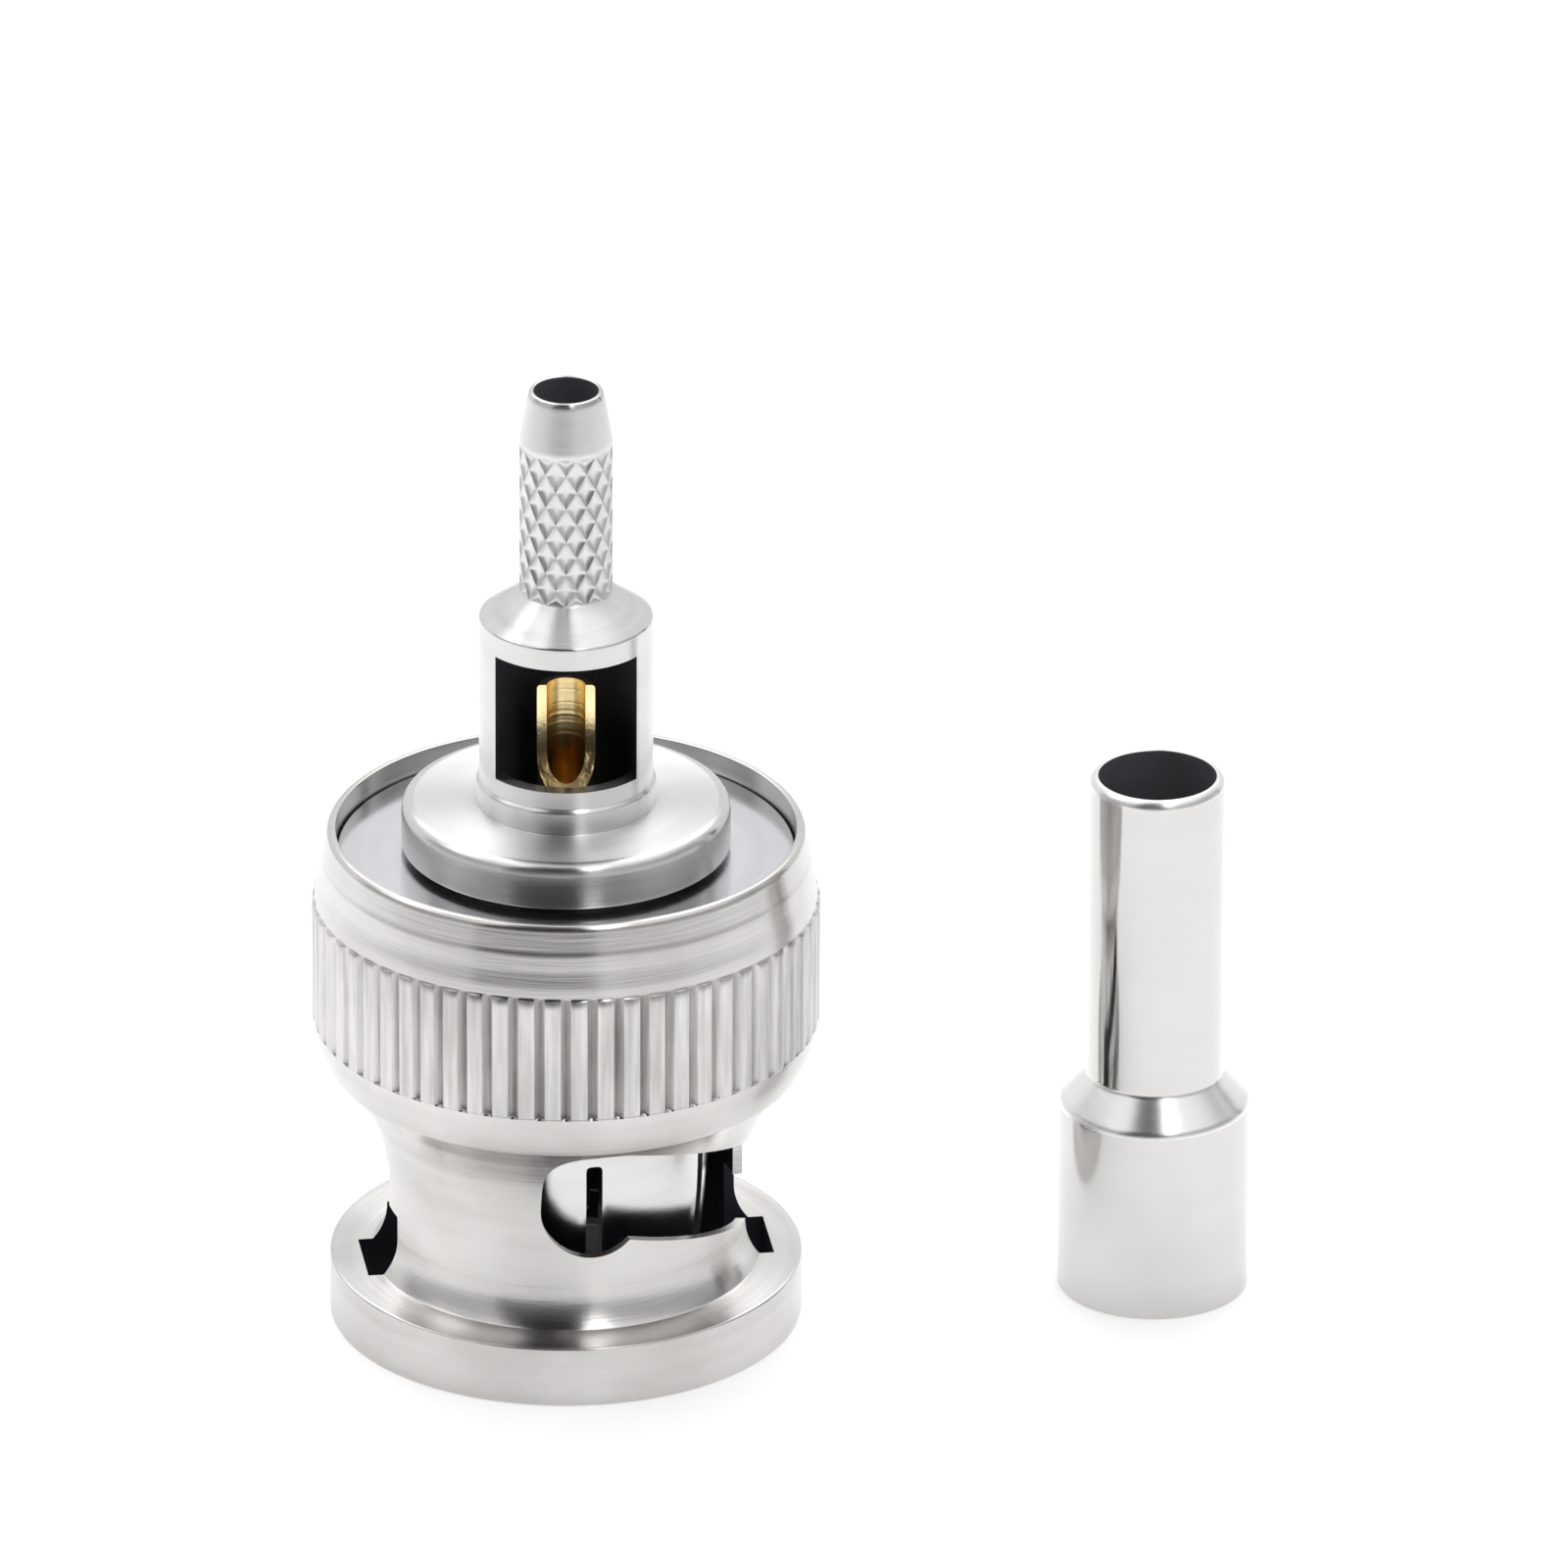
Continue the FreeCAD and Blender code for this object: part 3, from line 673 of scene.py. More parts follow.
@dataclass(frozen=True)
class PlainFinish:
    """A matt surface that isn't metal, such as rubber or the dielectric, with a fine mottle and grain. The
    dark ones are painted shade in the bores of the metal pieces.
    """

    name: str
    colour: tuple[float, float, float]
    shade: tuple[float, float, float]
    roughness: float
    grain_depth: float
    grain_scale: float
    subsurface: float = 0.0

    def material(self) -> bpy.types.Material:
        """Builds the finish.

        Returns:
            The material.
        """
        recipe = Recipe(self.name)
        cloud = recipe.noise(recipe.position(), 400.0, 4.0)
        grain = recipe.noise(recipe.position(), self.grain_scale, 3.0)
        shader = recipe.shader
        recipe.put(shader.inputs["Base Color"], recipe.tones(cloud, [(0.3, self.shade), (0.7, self.colour)]))
        dullness = recipe.spread(grain, self.roughness * 0.85, self.roughness * 1.15)
        recipe.put(shader.inputs["Roughness"], dullness)
        recipe.put(shader.inputs["Normal"], recipe.bump(grain, self.grain_depth))
        shader.inputs["Subsurface Weight"].default_value = self.subsurface
        shader.inputs["Subsurface Scale"].default_value = 0.3 * MM
        return recipe.material


class Finishes:
    """All the finishes of the object, built once."""

    def __init__(self, ferrule_axis: tuple[float, float]) -> None:
        """Builds them.

        Args:
            ferrule_axis: Where the ferrule's own axis stands, in millimetres.
        """
        self.satin = MetalFinish(
            "nickel_satin", (0.7, 0.685, 0.67), (0.56, 0.545, 0.53), 0.23, line_depth=0.005, anisotropy=0.9
        ).material()
        self.knurl = MetalFinish(
            "nickel_knurl", (0.7, 0.685, 0.67), (0.5, 0.49, 0.48), 0.36, line_depth=0.012,
            line_scale=6000.0, anisotropy=0.0, lay=Lay.ALONG,
        ).material()
        self.body = MetalFinish(
            "nickel_body", (0.74, 0.74, 0.735), (0.62, 0.62, 0.615), 0.24, line_depth=0.004, anisotropy=0.95
        ).material()
        # The collar's top: a rougher turned face, and a painted highlight as a lighter copy of the body's
        # nickel
        self.collar = MetalFinish(
            "nickel_collar_top_highlight", (0.81, 0.81, 0.81), (0.74, 0.74, 0.74), 0.42, line_depth=0.003, anisotropy=0.97
        ).material()
        self.stem = MetalFinish(
            "nickel_stem", (0.8, 0.8, 0.795), (0.72, 0.72, 0.715), 0.4, line_depth=0.002, anisotropy=0.0
        ).material()
        self.washer = MetalFinish(
            "nickel_washer", (0.7, 0.7, 0.73), (0.66, 0.66, 0.69), 0.16, line_depth=0.0004, anisotropy=0.6
        ).material()
        self.shell = MetalFinish(
            "nickel_shell", (0.72, 0.72, 0.72), (0.64, 0.64, 0.64), 0.19, line_depth=0.001, anisotropy=0.0
        ).material()
        self.ferrule = MetalFinish(
            "nickel_polished", (0.64, 0.633, 0.622), (0.615, 0.608, 0.597), 0.1, line_depth=0.0004,
            anisotropy=0.5, axis=ferrule_axis,
        ).material()
        # Turning marks on the ferrule's shoulder and mouth, with a painted highlight: a much lighter copy of
        # its nickel on these upward faces
        self.turned_ends_and_highlight = MetalFinish(
            "nickel_ferrule_ends_highlight", (0.86, 0.86, 0.855), (0.78, 0.78, 0.775), 0.3, line_depth=0.003,
            anisotropy=0.7, axis=ferrule_axis,
        ).material()
        self.gold = MetalFinish(
            "gold_plate", (1.0, 0.88, 0.56), (0.95, 0.72, 0.36), 0.2, line_depth=0.003
        ).material()
        # Drilling rings inside the solder cup, with painted shade: deeper, darker tones of gold than outside
        self.gold_bore = MetalFinish(
            "gold_rings_and_shade", (1.0, 0.86, 0.5), (0.85, 0.52, 0.18), 0.27, line_depth=0.02, line_scale=5000.0,
            streak_turn=0.02, anisotropy=0.0,
        ).material()
        self.steel = MetalFinish("steel_plain", (0.56, 0.56, 0.56), (0.48, 0.48, 0.48), 0.3).material()
        self.spring = MetalFinish("steel_spring", (0.46, 0.47, 0.5), (0.4, 0.4, 0.43), 0.25).material()
        # Painted shade: a dark matt colour in the bores, cavities and slots of the nut and the front shell,
        # where the nickel lies in shade
        self.bore = PlainFinish(
            "bore_painted_shade", (0.022, 0.022, 0.04), (0.012, 0.012, 0.024), 0.5, 0.002, 3000.0
        ).material()
        # Painted shade: a dark matt colour, a little less dark, in the turret, the cable bore and the
        # ferrule's bore
        self.hollow_shade = PlainFinish(
            "hollow_painted_shade", (0.14, 0.137, 0.155), (0.1, 0.098, 0.112), 0.5, 0.002, 3000.0
        ).material()
        self.silicone = PlainFinish(
            "silicone", (0.5, 0.13, 0.07), (0.42, 0.1, 0.055), 0.6, 0.01, 4000.0
        ).material()
        self.dielectric = PlainFinish(
            "dielectric_white", (0.87, 0.87, 0.85), (0.82, 0.82, 0.79), 0.45, 0.004, 2500.0, 0.15
        ).material()


# Pieces


@dataclass
class Piece:
    """A dressed piece: its name, the body that it rides on, the node that it replaces and its slot."""

    name: str
    body: str
    node: str
    slot: str

    SHARP_ANGLE = 40.0

    def finish_at(self, centre: Vector) -> int:
        """Which of its materials a face has, from the face's centre in millimetres."""
        return 0

    def show(self, mesh: bpy.types.Mesh, *materials: bpy.types.Material) -> bpy.types.Object:
        """Puts a finished mesh in the scene in place of its node.

        Args:
            mesh: The mesh, in place.
            *materials: Its materials, in the order that finish_at counts them in.

        Returns:
            The piece.
        """
        mesh.materials.clear()
        for material in materials:
            mesh.materials.append(material)
        for face in mesh.polygons:
            face.material_index = self.finish_at(face.center / MM)
        mesh.shade_smooth()
        mesh.set_sharp_from_angle(angle=math.radians(self.SHARP_ANGLE))
        piece = as_object(self.name, mesh)
        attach(piece, self.body)
        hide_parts(self.node)
        return piece


@dataclass
class CouplingNut(Piece):
    """The turned nut: flange, waisted neck with two bayonet tracks, knurled barrel and tapered rim."""

    name: str = "coupling_nut_skin"
    body: str = "nut"
    node: str = "coupling_nut"
    slot: str = "nickel_satin"
    flange_radius: float = 6.75
    flange_height: float = 1.8
    neck_radius: float = 5.15
    root_growth: float = 0.4
    root_length: float = 1.1
    neck_end: float = 4.4
    crease_radius: float = 6.74
    crease_height: float = 7.87
    barrel_radius: float = 7.16
    barrel_bulge: float = 2.6
    knurl_front: float = 9.2
    knurl_rear: float = 12.9
    ridge_count: int = 60
    crest_radius: float = 7.24
    groove_depth: float = 0.22
    groove_half_width: float = 0.15
    ridge_crown: float = 0.025
    ledge: float = 0.05
    rim_radius: float = 6.8
    rim_height: float = 15.05
    rim_chamfer: float = 0.1
    rim_bore: float = 6.55
    washer_seat: float = 13.65
    cavity_radius: float = 6.2
    cavity_front: float = 8.6
    bore_radius: float = 4.87
    bore_lead: float = 0.3
    track_end_angle: float = 8.7
    track_end_radius: float = 1.5
    shoulder_power: float = 0.82
    detent_low: float = 5.38
    detent_high: float = 6.15
    run_start: Point = (15.6, 7.68)
    run_low: float = 4.58
    entry_angle: float = 97.5
    entry_low: float = 2.65
    run_end: Point = (97.5, 5.08)
    run_stop: float = 101.5
    entry_high: float = 3.6
    entry_width: float = 2.4
    entry_radius: float = 5.85

    # Where a ridge's columns stand, as shares of half a ridge's width from the middle of a groove
    COLUMNS = (0.0, 0.395, 0.5, 0.75)
    # Radius, height and rounding of each corner of the worn taper between the knurl and the rim
    TAPER = ((7.13, 13.22, 0.1), (7.03, 13.7, 0.1), (6.965, 14.18, 0.05), (6.93, 14.3, 0.05))

    def column_shares(self) -> list[float]:
        """The places of a cell's columns, from -1 to 1 over the cell's width."""
        right = list(self.COLUMNS)
        return [-1.0] + [-share for share in reversed(right[1:])] + right

    def angles(self) -> list[float]:
        """The angle of every column round the nut.

        Returns:
            The angles in radians, rising.
        """
        half_cell = math.pi / self.ridge_count
        return [
            (2 * number + share) * half_cell
            for number in range(self.ridge_count)
            for share in self.column_shares()
        ]

    def ridge_cell(self) -> bmesh.types.BMesh:
        """One groove with half a ridge on each side, and the ledges at both ends.

        Returns:
            The cell, at the front of the nut.
        """
        half_cell = math.pi / self.ridge_count
        half_width = half_cell * self.crest_radius
        shares = self.column_shares() + [1.0]
        levels = [
            (self.knurl_front - self.ledge, 0.0),
            (self.knurl_front, 0.55),
            (self.knurl_front + 0.03, 1.0),
            (self.knurl_front + 0.3, 1.0),
            ((self.knurl_front + self.knurl_rear) / 2, 1.0),
            (self.knurl_rear - 0.3, 1.0),
            (self.knurl_rear - 0.04, 1.0),
            (self.knurl_rear, 0.6),
            (self.knurl_rear + self.ledge, 0.0),
        ]
        cell = bmesh.new()
        grid = []
        for height, share in levels:
            row = []
            for position in shares:
                away = abs(position) * half_width
                inside = max(0.0, 1 - away / self.groove_half_width)
                slope = max(0.0, 1 - (away - self.groove_half_width) / (half_width - self.groove_half_width))
                crest = self.crest_radius - self.ridge_crown * min(slope, 1.0) ** 2
                relief = crest - self.groove_depth * inside
                radius = self.barrel_radius + (relief - self.barrel_radius) * share
                row.append(cell.verts.new(place(radius, position * half_cell, height)))
            grid.append(row)
        for low, high in zip(grid, grid[1:]):
            for column in range(len(shares) - 1):
                cell.faces.new((low[column], low[column + 1], high[column + 1], high[column]))
        return cell

    def turned_outline(self) -> Outline:
        """Everything but the knurled band: from its rear end over the rim and the inside to its front end.

        Returns:
            The open outline.
        """
        shape = Outline().to(self.barrel_radius, self.knurl_rear + self.ledge, 0.0)
        for radius, height, rounding in self.TAPER:
            shape.to(radius, height, rounding)
        shape.to(self.rim_radius + 0.01, self.rim_height - self.rim_chamfer, 0.08)
        shape.to(self.rim_radius - 0.09, self.rim_height, 0.04)
        shape.to(self.rim_bore, self.rim_height, 0.04)
        shape.to(self.rim_bore, self.washer_seat).to(self.cavity_radius, self.washer_seat)
        shape.to(self.cavity_radius, self.cavity_front).to(self.bore_radius, self.cavity_front)
        shape.to(self.bore_radius, self.bore_lead, 0.05).to(self.bore_radius + self.bore_lead, 0.0, 0.05)
        shape.to(self.flange_radius, 0.0, 0.06).to(self.flange_radius, self.flange_height, 0.07)
        root_bend = (self.root_length**2 + self.root_growth**2) / (2 * self.root_growth)
        rise, growth = self.crease_height - self.neck_end, self.crease_radius - self.neck_radius
        flare_bend = (rise**2 + growth**2) / (2 * growth)
        shape.to(self.neck_radius + self.root_growth, self.flange_height, 0.02)
        shape.arc_to(self.neck_radius, self.flange_height + self.root_length, root_bend, Turn.RIGHT, 12)
        shape.to(self.neck_radius, self.neck_end, 0.0)
        shape.arc_to(self.crease_radius, self.crease_height, flare_bend, Turn.RIGHT, 24)
        shape.arc_to(self.barrel_radius, self.knurl_front - self.ledge, self.barrel_bulge, Turn.LEFT, 10)
        return shape

    def wall_point(self, turn: float, height: float, radius: float) -> Vector:
        """A point of a cutter in millimetres, at a turn in degrees from the front."""
        angle = math.radians(turn)
        return Vector((radius * math.sin(angle), -radius * math.cos(angle), height))

    def track_run(self) -> bmesh.types.BMesh:
        """Cutter for the sloping run of a track, whose sides are straight on the unrolled neck.

        Returns:
            The cutter, in place.
        """
        inner, outer, steps = self.bore_radius - 0.5, self.crest_radius + 0.5, 48
        (bend_turn, bend_height), (end_turn, end_height) = self.run_start, self.run_end
        cutter = bmesh.new()
        columns = []
        for step in range(steps + 1):
            turn = self.track_end_angle + (self.run_stop - self.track_end_angle) * step / steps
            share = (turn - self.track_end_angle) / (end_turn - self.track_end_angle)
            fall = max(0.0, (turn - bend_turn) / (end_turn - bend_turn))
            low = self.run_low + (self.entry_low - self.run_low) * share
            high = bend_height + (end_height - bend_height) * fall
            corners = [(low, inner), (low, outer), (high, outer), (high, inner)]
            columns.append([cutter.verts.new(self.wall_point(turn, z, r) * MM) for z, r in corners])
        for here, there in zip(columns, columns[1:]):
            for corner in range(4):
                after = (corner + 1) % 4
                cutter.faces.new((here[corner], here[after], there[after], there[corner]))
        cutter.faces.new(reversed(columns[0]))
        cutter.faces.new(columns[-1])
        bmesh.ops.recalc_face_normals(cutter, faces=cutter.faces)
        return cutter

    def detent(self) -> bmesh.types.BMesh:
        """Cutter for the pocket at a track's end: round below, with slightly fuller shoulders above.

        Returns:
            The cutter, in place.
        """
        steps, radius = 20, self.track_end_radius
        section = []
        for step in range(steps + 1):
            angle = math.pi * step / steps
            across = math.copysign(abs(math.cos(angle)) ** self.shoulder_power, math.cos(angle))
            rise = math.sin(angle) ** self.shoulder_power if 0 < step < steps else 0.0
            section.append(Vector((radius * across, -4.0, self.detent_high + radius * rise)))
        for step in range(steps + 1):
            angle = math.pi * (1 + step / steps)
            depth = radius * math.sin(angle)
            section.append(Vector((radius * math.cos(angle), -4.0, self.detent_low + depth)))
        cutter = prism(section, Vector((0.0, -4.0, 0.0)))
        turn = Matrix.Rotation(math.radians(self.track_end_angle), 4, "Z")
        bmesh.ops.transform(cutter, matrix=turn, verts=cutter.verts)
        return cutter

    def entry(self) -> bmesh.types.BMesh:
        """Cutter for the groove along the bore through which a lug enters.

        Returns:
            The cutter, in place.
        """
        half, inner = self.entry_width / 2, self.bore_radius - 0.5
        section = [
            Vector((-half, -inner, -0.5)),
            Vector((half, -inner, -0.5)),
            Vector((half, -self.entry_radius, -0.5)),
            Vector((-half, -self.entry_radius, -0.5)),
        ]
        cutter = prism(section, Vector((0.0, 0.0, self.entry_high + 0.5)))
        turn = Matrix.Rotation(math.radians(self.entry_angle), 4, "Z")
        bmesh.ops.transform(cutter, matrix=turn, verts=cutter.verts)
        return cutter

    def in_entry(self, centre: Vector) -> bool:
        """Tells whether a face is a wall of an entry groove.

        Args:
            centre: The face's centre in millimetres.

        Returns:
            Whether it is one.
        """
        bearing = math.radians(self.entry_angle)
        beside = abs(centre.x * math.cos(bearing) + centre.y * math.sin(bearing))
        out = abs(centre.x * math.sin(bearing) - centre.y * math.cos(bearing))
        if not 0 < centre.z < self.entry_high + 0.01:
            return False
        if beside > self.entry_width / 2 + 0.01 or not self.bore_radius < out < self.entry_radius + 0.01:
            return False
        return abs(beside - self.entry_width / 2) < 0.01 or abs(out - self.entry_radius) < 0.15

    def finish_at(self, centre: Vector) -> int:
        """Satin outside, painted shade in the bore, the cavity and the entry grooves (a dark matt colour), and
        its own finish on the knurl.

        Args:
            centre: The face's centre in millimetres.

        Returns:
            The number of the material.
        """
        across = math.hypot(centre.x, centre.y)
        if across < self.bore_radius + 0.05 and self.flange_height / 4 < centre.z < self.cavity_front:
            return 2
        if across < self.cavity_radius + 0.02 and self.cavity_front - 0.01 < centre.z < self.washer_seat:
            return 2
        if self.in_entry(centre):
            return 2
        on_knurl = across > self.barrel_radius - 0.3 and self.knurl_front < centre.z < self.knurl_rear
        return 1 if on_knurl else 0

    def build(self, array: RoundArray, finishes: Finishes) -> bpy.types.Object:
        """Builds and dresses the nut.

        Args:
            array: The tree that repeats ridges and tracks.
            finishes: The object's finishes.

        Returns:
            The piece.
        """
        turned = lathe(self.turned_outline().points(closed=False), self.angles(), closed=False)
        band = array.repeat(self.ridge_cell(), finishes.knurl, self.ridge_count)
        blank = as_mesh("blank", joined(turned, band))
        mesh = blank
        for tool in (self.entry(), self.track_run(), self.detent()):
            mesh = cut(mesh, array.repeat(tool, finishes.satin, 2))
        return self.show(mesh, finishes.satin, finishes.knurl, finishes.bore)


@dataclass
class RetainingWasher(Piece):
    """The flat washer in the nut's rear rim, with rounded edges and a hair's breadth of room round it."""

    name: str = "retaining_washer_skin"
    body: str = "nut"
    node: str = "retaining_washer"
    slot: str = "nickel_polished"
    outer_radius: float = 6.5
    bore_radius: float = 4.0
    front: float = 13.65
    rear: float = 14.4

    def build(self, finishes: Finishes) -> bpy.types.Object:
        """Builds and dresses the washer.

        Args:
            finishes: The object's finishes.

        Returns:
            The piece.
        """
        shape = Outline().to(self.bore_radius, self.front, 0.05).to(self.outer_radius, self.front, 0.05)
        shape.to(self.outer_radius, self.rear, 0.07).to(self.bore_radius, self.rear, 0.05)
        skin = joined(lathe(shape.points(), even_angles(ROUND_COLUMNS)))
        return self.show(as_mesh(self.name, skin), finishes.washer)


@dataclass
class CrimpBody(Piece):
    """The turned body: collar, windowed turret, cone and diamond knurled crimp stem with its tapered tip."""

    name: str = "crimp_body_skin"
    body: str = "plug"
    node: str = "crimp_body"
    slot: str = "nickel_satin"
    spigot_front: float = 11.4
    spigot_radius: float = 3.2
    tail_bore: float = 1.5
    collar_front: float = 14.6
    collar_rear: float = 15.93
    collar_radius: float = 4.68
    collar_rounding: float = 0.34
    ring_radius: float = 2.57
    ring_rear: float = 16.69
    turret_radius: float = 2.47
    turret_bore: float = 2.05
    turret_rear: float = 21.65
    cavity_floor: float = 15.0
    window_front: float = 17.2
    window_rear: float = 21.0
    window_width: float = 4.0
    bore_front: float = 21.2
    cone_rear: float = 22.45
    stem_radius: float = 1.325
    knurl_rear: float = 27.0
    stem_rear: float = 28.6
    tip_radius: float = 1.07
    cable_bore: float = 0.915
    starts: int = 14
    diamond_rows: int = 8
    pit_depth: float = 0.1
    pit_floor: float = 0.8
    cell_steps: int = 12

    @property
    def half_diamond(self) -> float:
        """Half the height of one diamond, in millimetres."""
        return (self.knurl_rear - self.cone_rear) / (self.diamond_rows + 1)

    def pit_radius(self, nearness: float) -> float:
        """Radius inside a pit, from the distance to the nearest ridge, which is 0.5 in the pit's middle."""
        depth = min(1.0, 2 * nearness / self.pit_floor)
        return self.stem_radius - self.pit_depth * depth * (2 - depth)

    def diamond_cell(self, kind: Band) -> bmesh.types.BMesh:
        """One pit between its ridges: a whole diamond, or the half of one at an end of the knurl.

        Args:
            kind: Which cell.

        Returns:
            The cell, at the front of the stem and at the knurl's front end, or at its rear end for the
            rear half.
        """
        steps, width = self.cell_steps, 2 * math.pi / self.starts
        cell = bmesh.new()
        corners: dict[tuple[int, int], bmesh.types.BMVert] = {}
        for first in range(steps + 1):
            for second in range(steps + 1):
                if kind is Band.FRONT_HALF and first + second < steps:
                    continue
                if kind is Band.REAR_HALF and first + second > steps:
                    continue
                along, beside = first / steps, second / steps
                nearness = min(along, 1 - along, beside, 1 - beside)
                height = (along + beside) * self.half_diamond
                if kind is Band.FRONT_HALF:
                    nearness = min(nearness, (along + beside - 1) * 0.8)
                    height -= self.half_diamond
                if kind is Band.REAR_HALF:
                    nearness = min(nearness, (1 - along - beside) * 0.8)
                    height += self.knurl_rear - self.cone_rear - self.half_diamond
                angle = (along - beside) / 2 * width
                corners[first, second] = cell.verts.new(
                    place(self.pit_radius(max(nearness, 0.0)), angle, self.cone_rear + height)
                )
        for first in range(steps):
            for second in range(steps):
                loop = [(first, second), (first + 1, second), (first + 1, second + 1), (first, second + 1)]
                known = [corners[key] for key in loop if key in corners]
                if len(known) > 2:
                    cell.faces.new(known)
        return cell

    def diamond_band(self, array: RoundArray, finish: bpy.types.Material) -> list[bmesh.types.BMesh]:
        """The knurled band: rows of diamonds, closed by a row of half diamonds at each end.

        Args:
            array: The tree that repeats the cells.
            finish: The band's material.

        Returns:
            The three parts of the band.
        """
        rows, diamond = self.diamond_rows, self.diamond_cell(Band.DIAMOND)
        whole = array.repeat(diamond, finish, self.starts, rows, self.half_diamond, 0.5)
        front = array.repeat(self.diamond_cell(Band.FRONT_HALF), finish, self.starts)
        rear = array.repeat(self.diamond_cell(Band.REAR_HALF), finish, self.starts)
        half_turn = Matrix.Rotation(math.pi / self.starts, 4, "Z")
        bmesh.ops.transform(front, matrix=half_turn, verts=front.verts)
        if rows % 2:
            bmesh.ops.transform(rear, matrix=half_turn, verts=rear.verts)
        return [whole, front, rear]

    def turned_outline(self) -> Outline:
        """Everything but the knurled band: from its rear end over the tip and the inside to its front end.

        Returns:
            The open outline.
        """
        shape = Outline().to(self.stem_radius, self.knurl_rear, 0.0)
        shape.to(self.stem_radius - 0.005, self.knurl_rear + 0.12, 0.06)
        shape.to(self.tip_radius + 0.02, self.stem_rear - 0.12, 0.1)
        shape.to(self.tip_radius - 0.04, self.stem_rear, 0.03)
        shape.to(self.cable_bore, self.stem_rear, 0.04).to(self.cable_bore, self.bore_front)
        shape.to(self.turret_bore, self.bore_front).to(self.turret_bore, self.cavity_floor)
        shape.to(self.tail_bore, self.cavity_floor).to(self.tail_bore, self.spigot_front)
        shape.to(self.spigot_radius, self.spigot_front).to(self.spigot_radius, self.collar_front)
        shape.to(self.collar_radius, self.collar_front, 0.05)
        shape.to(self.collar_radius, self.collar_rear, self.collar_rounding)
        shape.to(self.ring_radius, self.collar_rear, 0.03)
        shape.to(self.ring_radius, self.ring_rear - 0.1, 0.05).to(self.turret_radius, self.ring_rear, 0.02)
        shape.to(self.turret_radius, self.turret_rear, 0.05)
        shape.to(self.stem_radius, self.cone_rear, 0.0)
        return shape

    def finish_at(self, centre: Vector) -> int:
        """Turned outside, painted shade in the turret and the cable bore, and softer on the collar and the
        knurl; the collar's top has a painted highlight.

        Args:
            centre: The face's centre in millimetres.

        Returns:
            The number of the material.
        """
        across = math.hypot(centre.x, centre.y)
        if abs(centre.z - self.window_front) < 0.01:
            return 0
        if across < self.turret_bore + 0.02 and self.cavity_floor - 0.01 < centre.z < self.bore_front + 0.01:
            return 1
        if across < self.cable_bore + 0.01 and centre.z > self.bore_front:
            return 1
        if abs(centre.z - self.collar_rear) < 0.01 and self.ring_radius < across < self.collar_radius - 0.3:
            return 3
        on_stem = self.cone_rear < centre.z < self.stem_rear - 0.15
        return 2 if on_stem and across > self.cable_bore + 0.1 else 0

    def window(self) -> bmesh.types.BMesh:
        """Cutter for the window.

        Returns:
            The cutter, in place.
        """
        half = self.window_width / 2
        section = [
            Vector((-half, 0.0, self.window_front)),
            Vector((half, 0.0, self.window_front)),
            Vector((half, 0.0, self.window_rear)),
            Vector((-half, 0.0, self.window_rear)),
        ]
        return prism(section, Vector((0.0, -4.0, 0.0)))

    def build(self, array: RoundArray, finishes: Finishes) -> bpy.types.Object:
        """Builds and dresses the body.

        Args:
            array: The tree that repeats the diamonds.
            finishes: The object's finishes.

        Returns:
            The piece.
        """
        around = self.starts * self.cell_steps
        turned = lathe(self.turned_outline().points(closed=False), even_angles(around), closed=False)
        blank = as_mesh("blank", joined(turned, *self.diamond_band(array, finishes.body)))
        mesh = cut(blank, self.window())
        return self.show(mesh, finishes.body, finishes.hollow_shade, finishes.stem, finishes.collar)


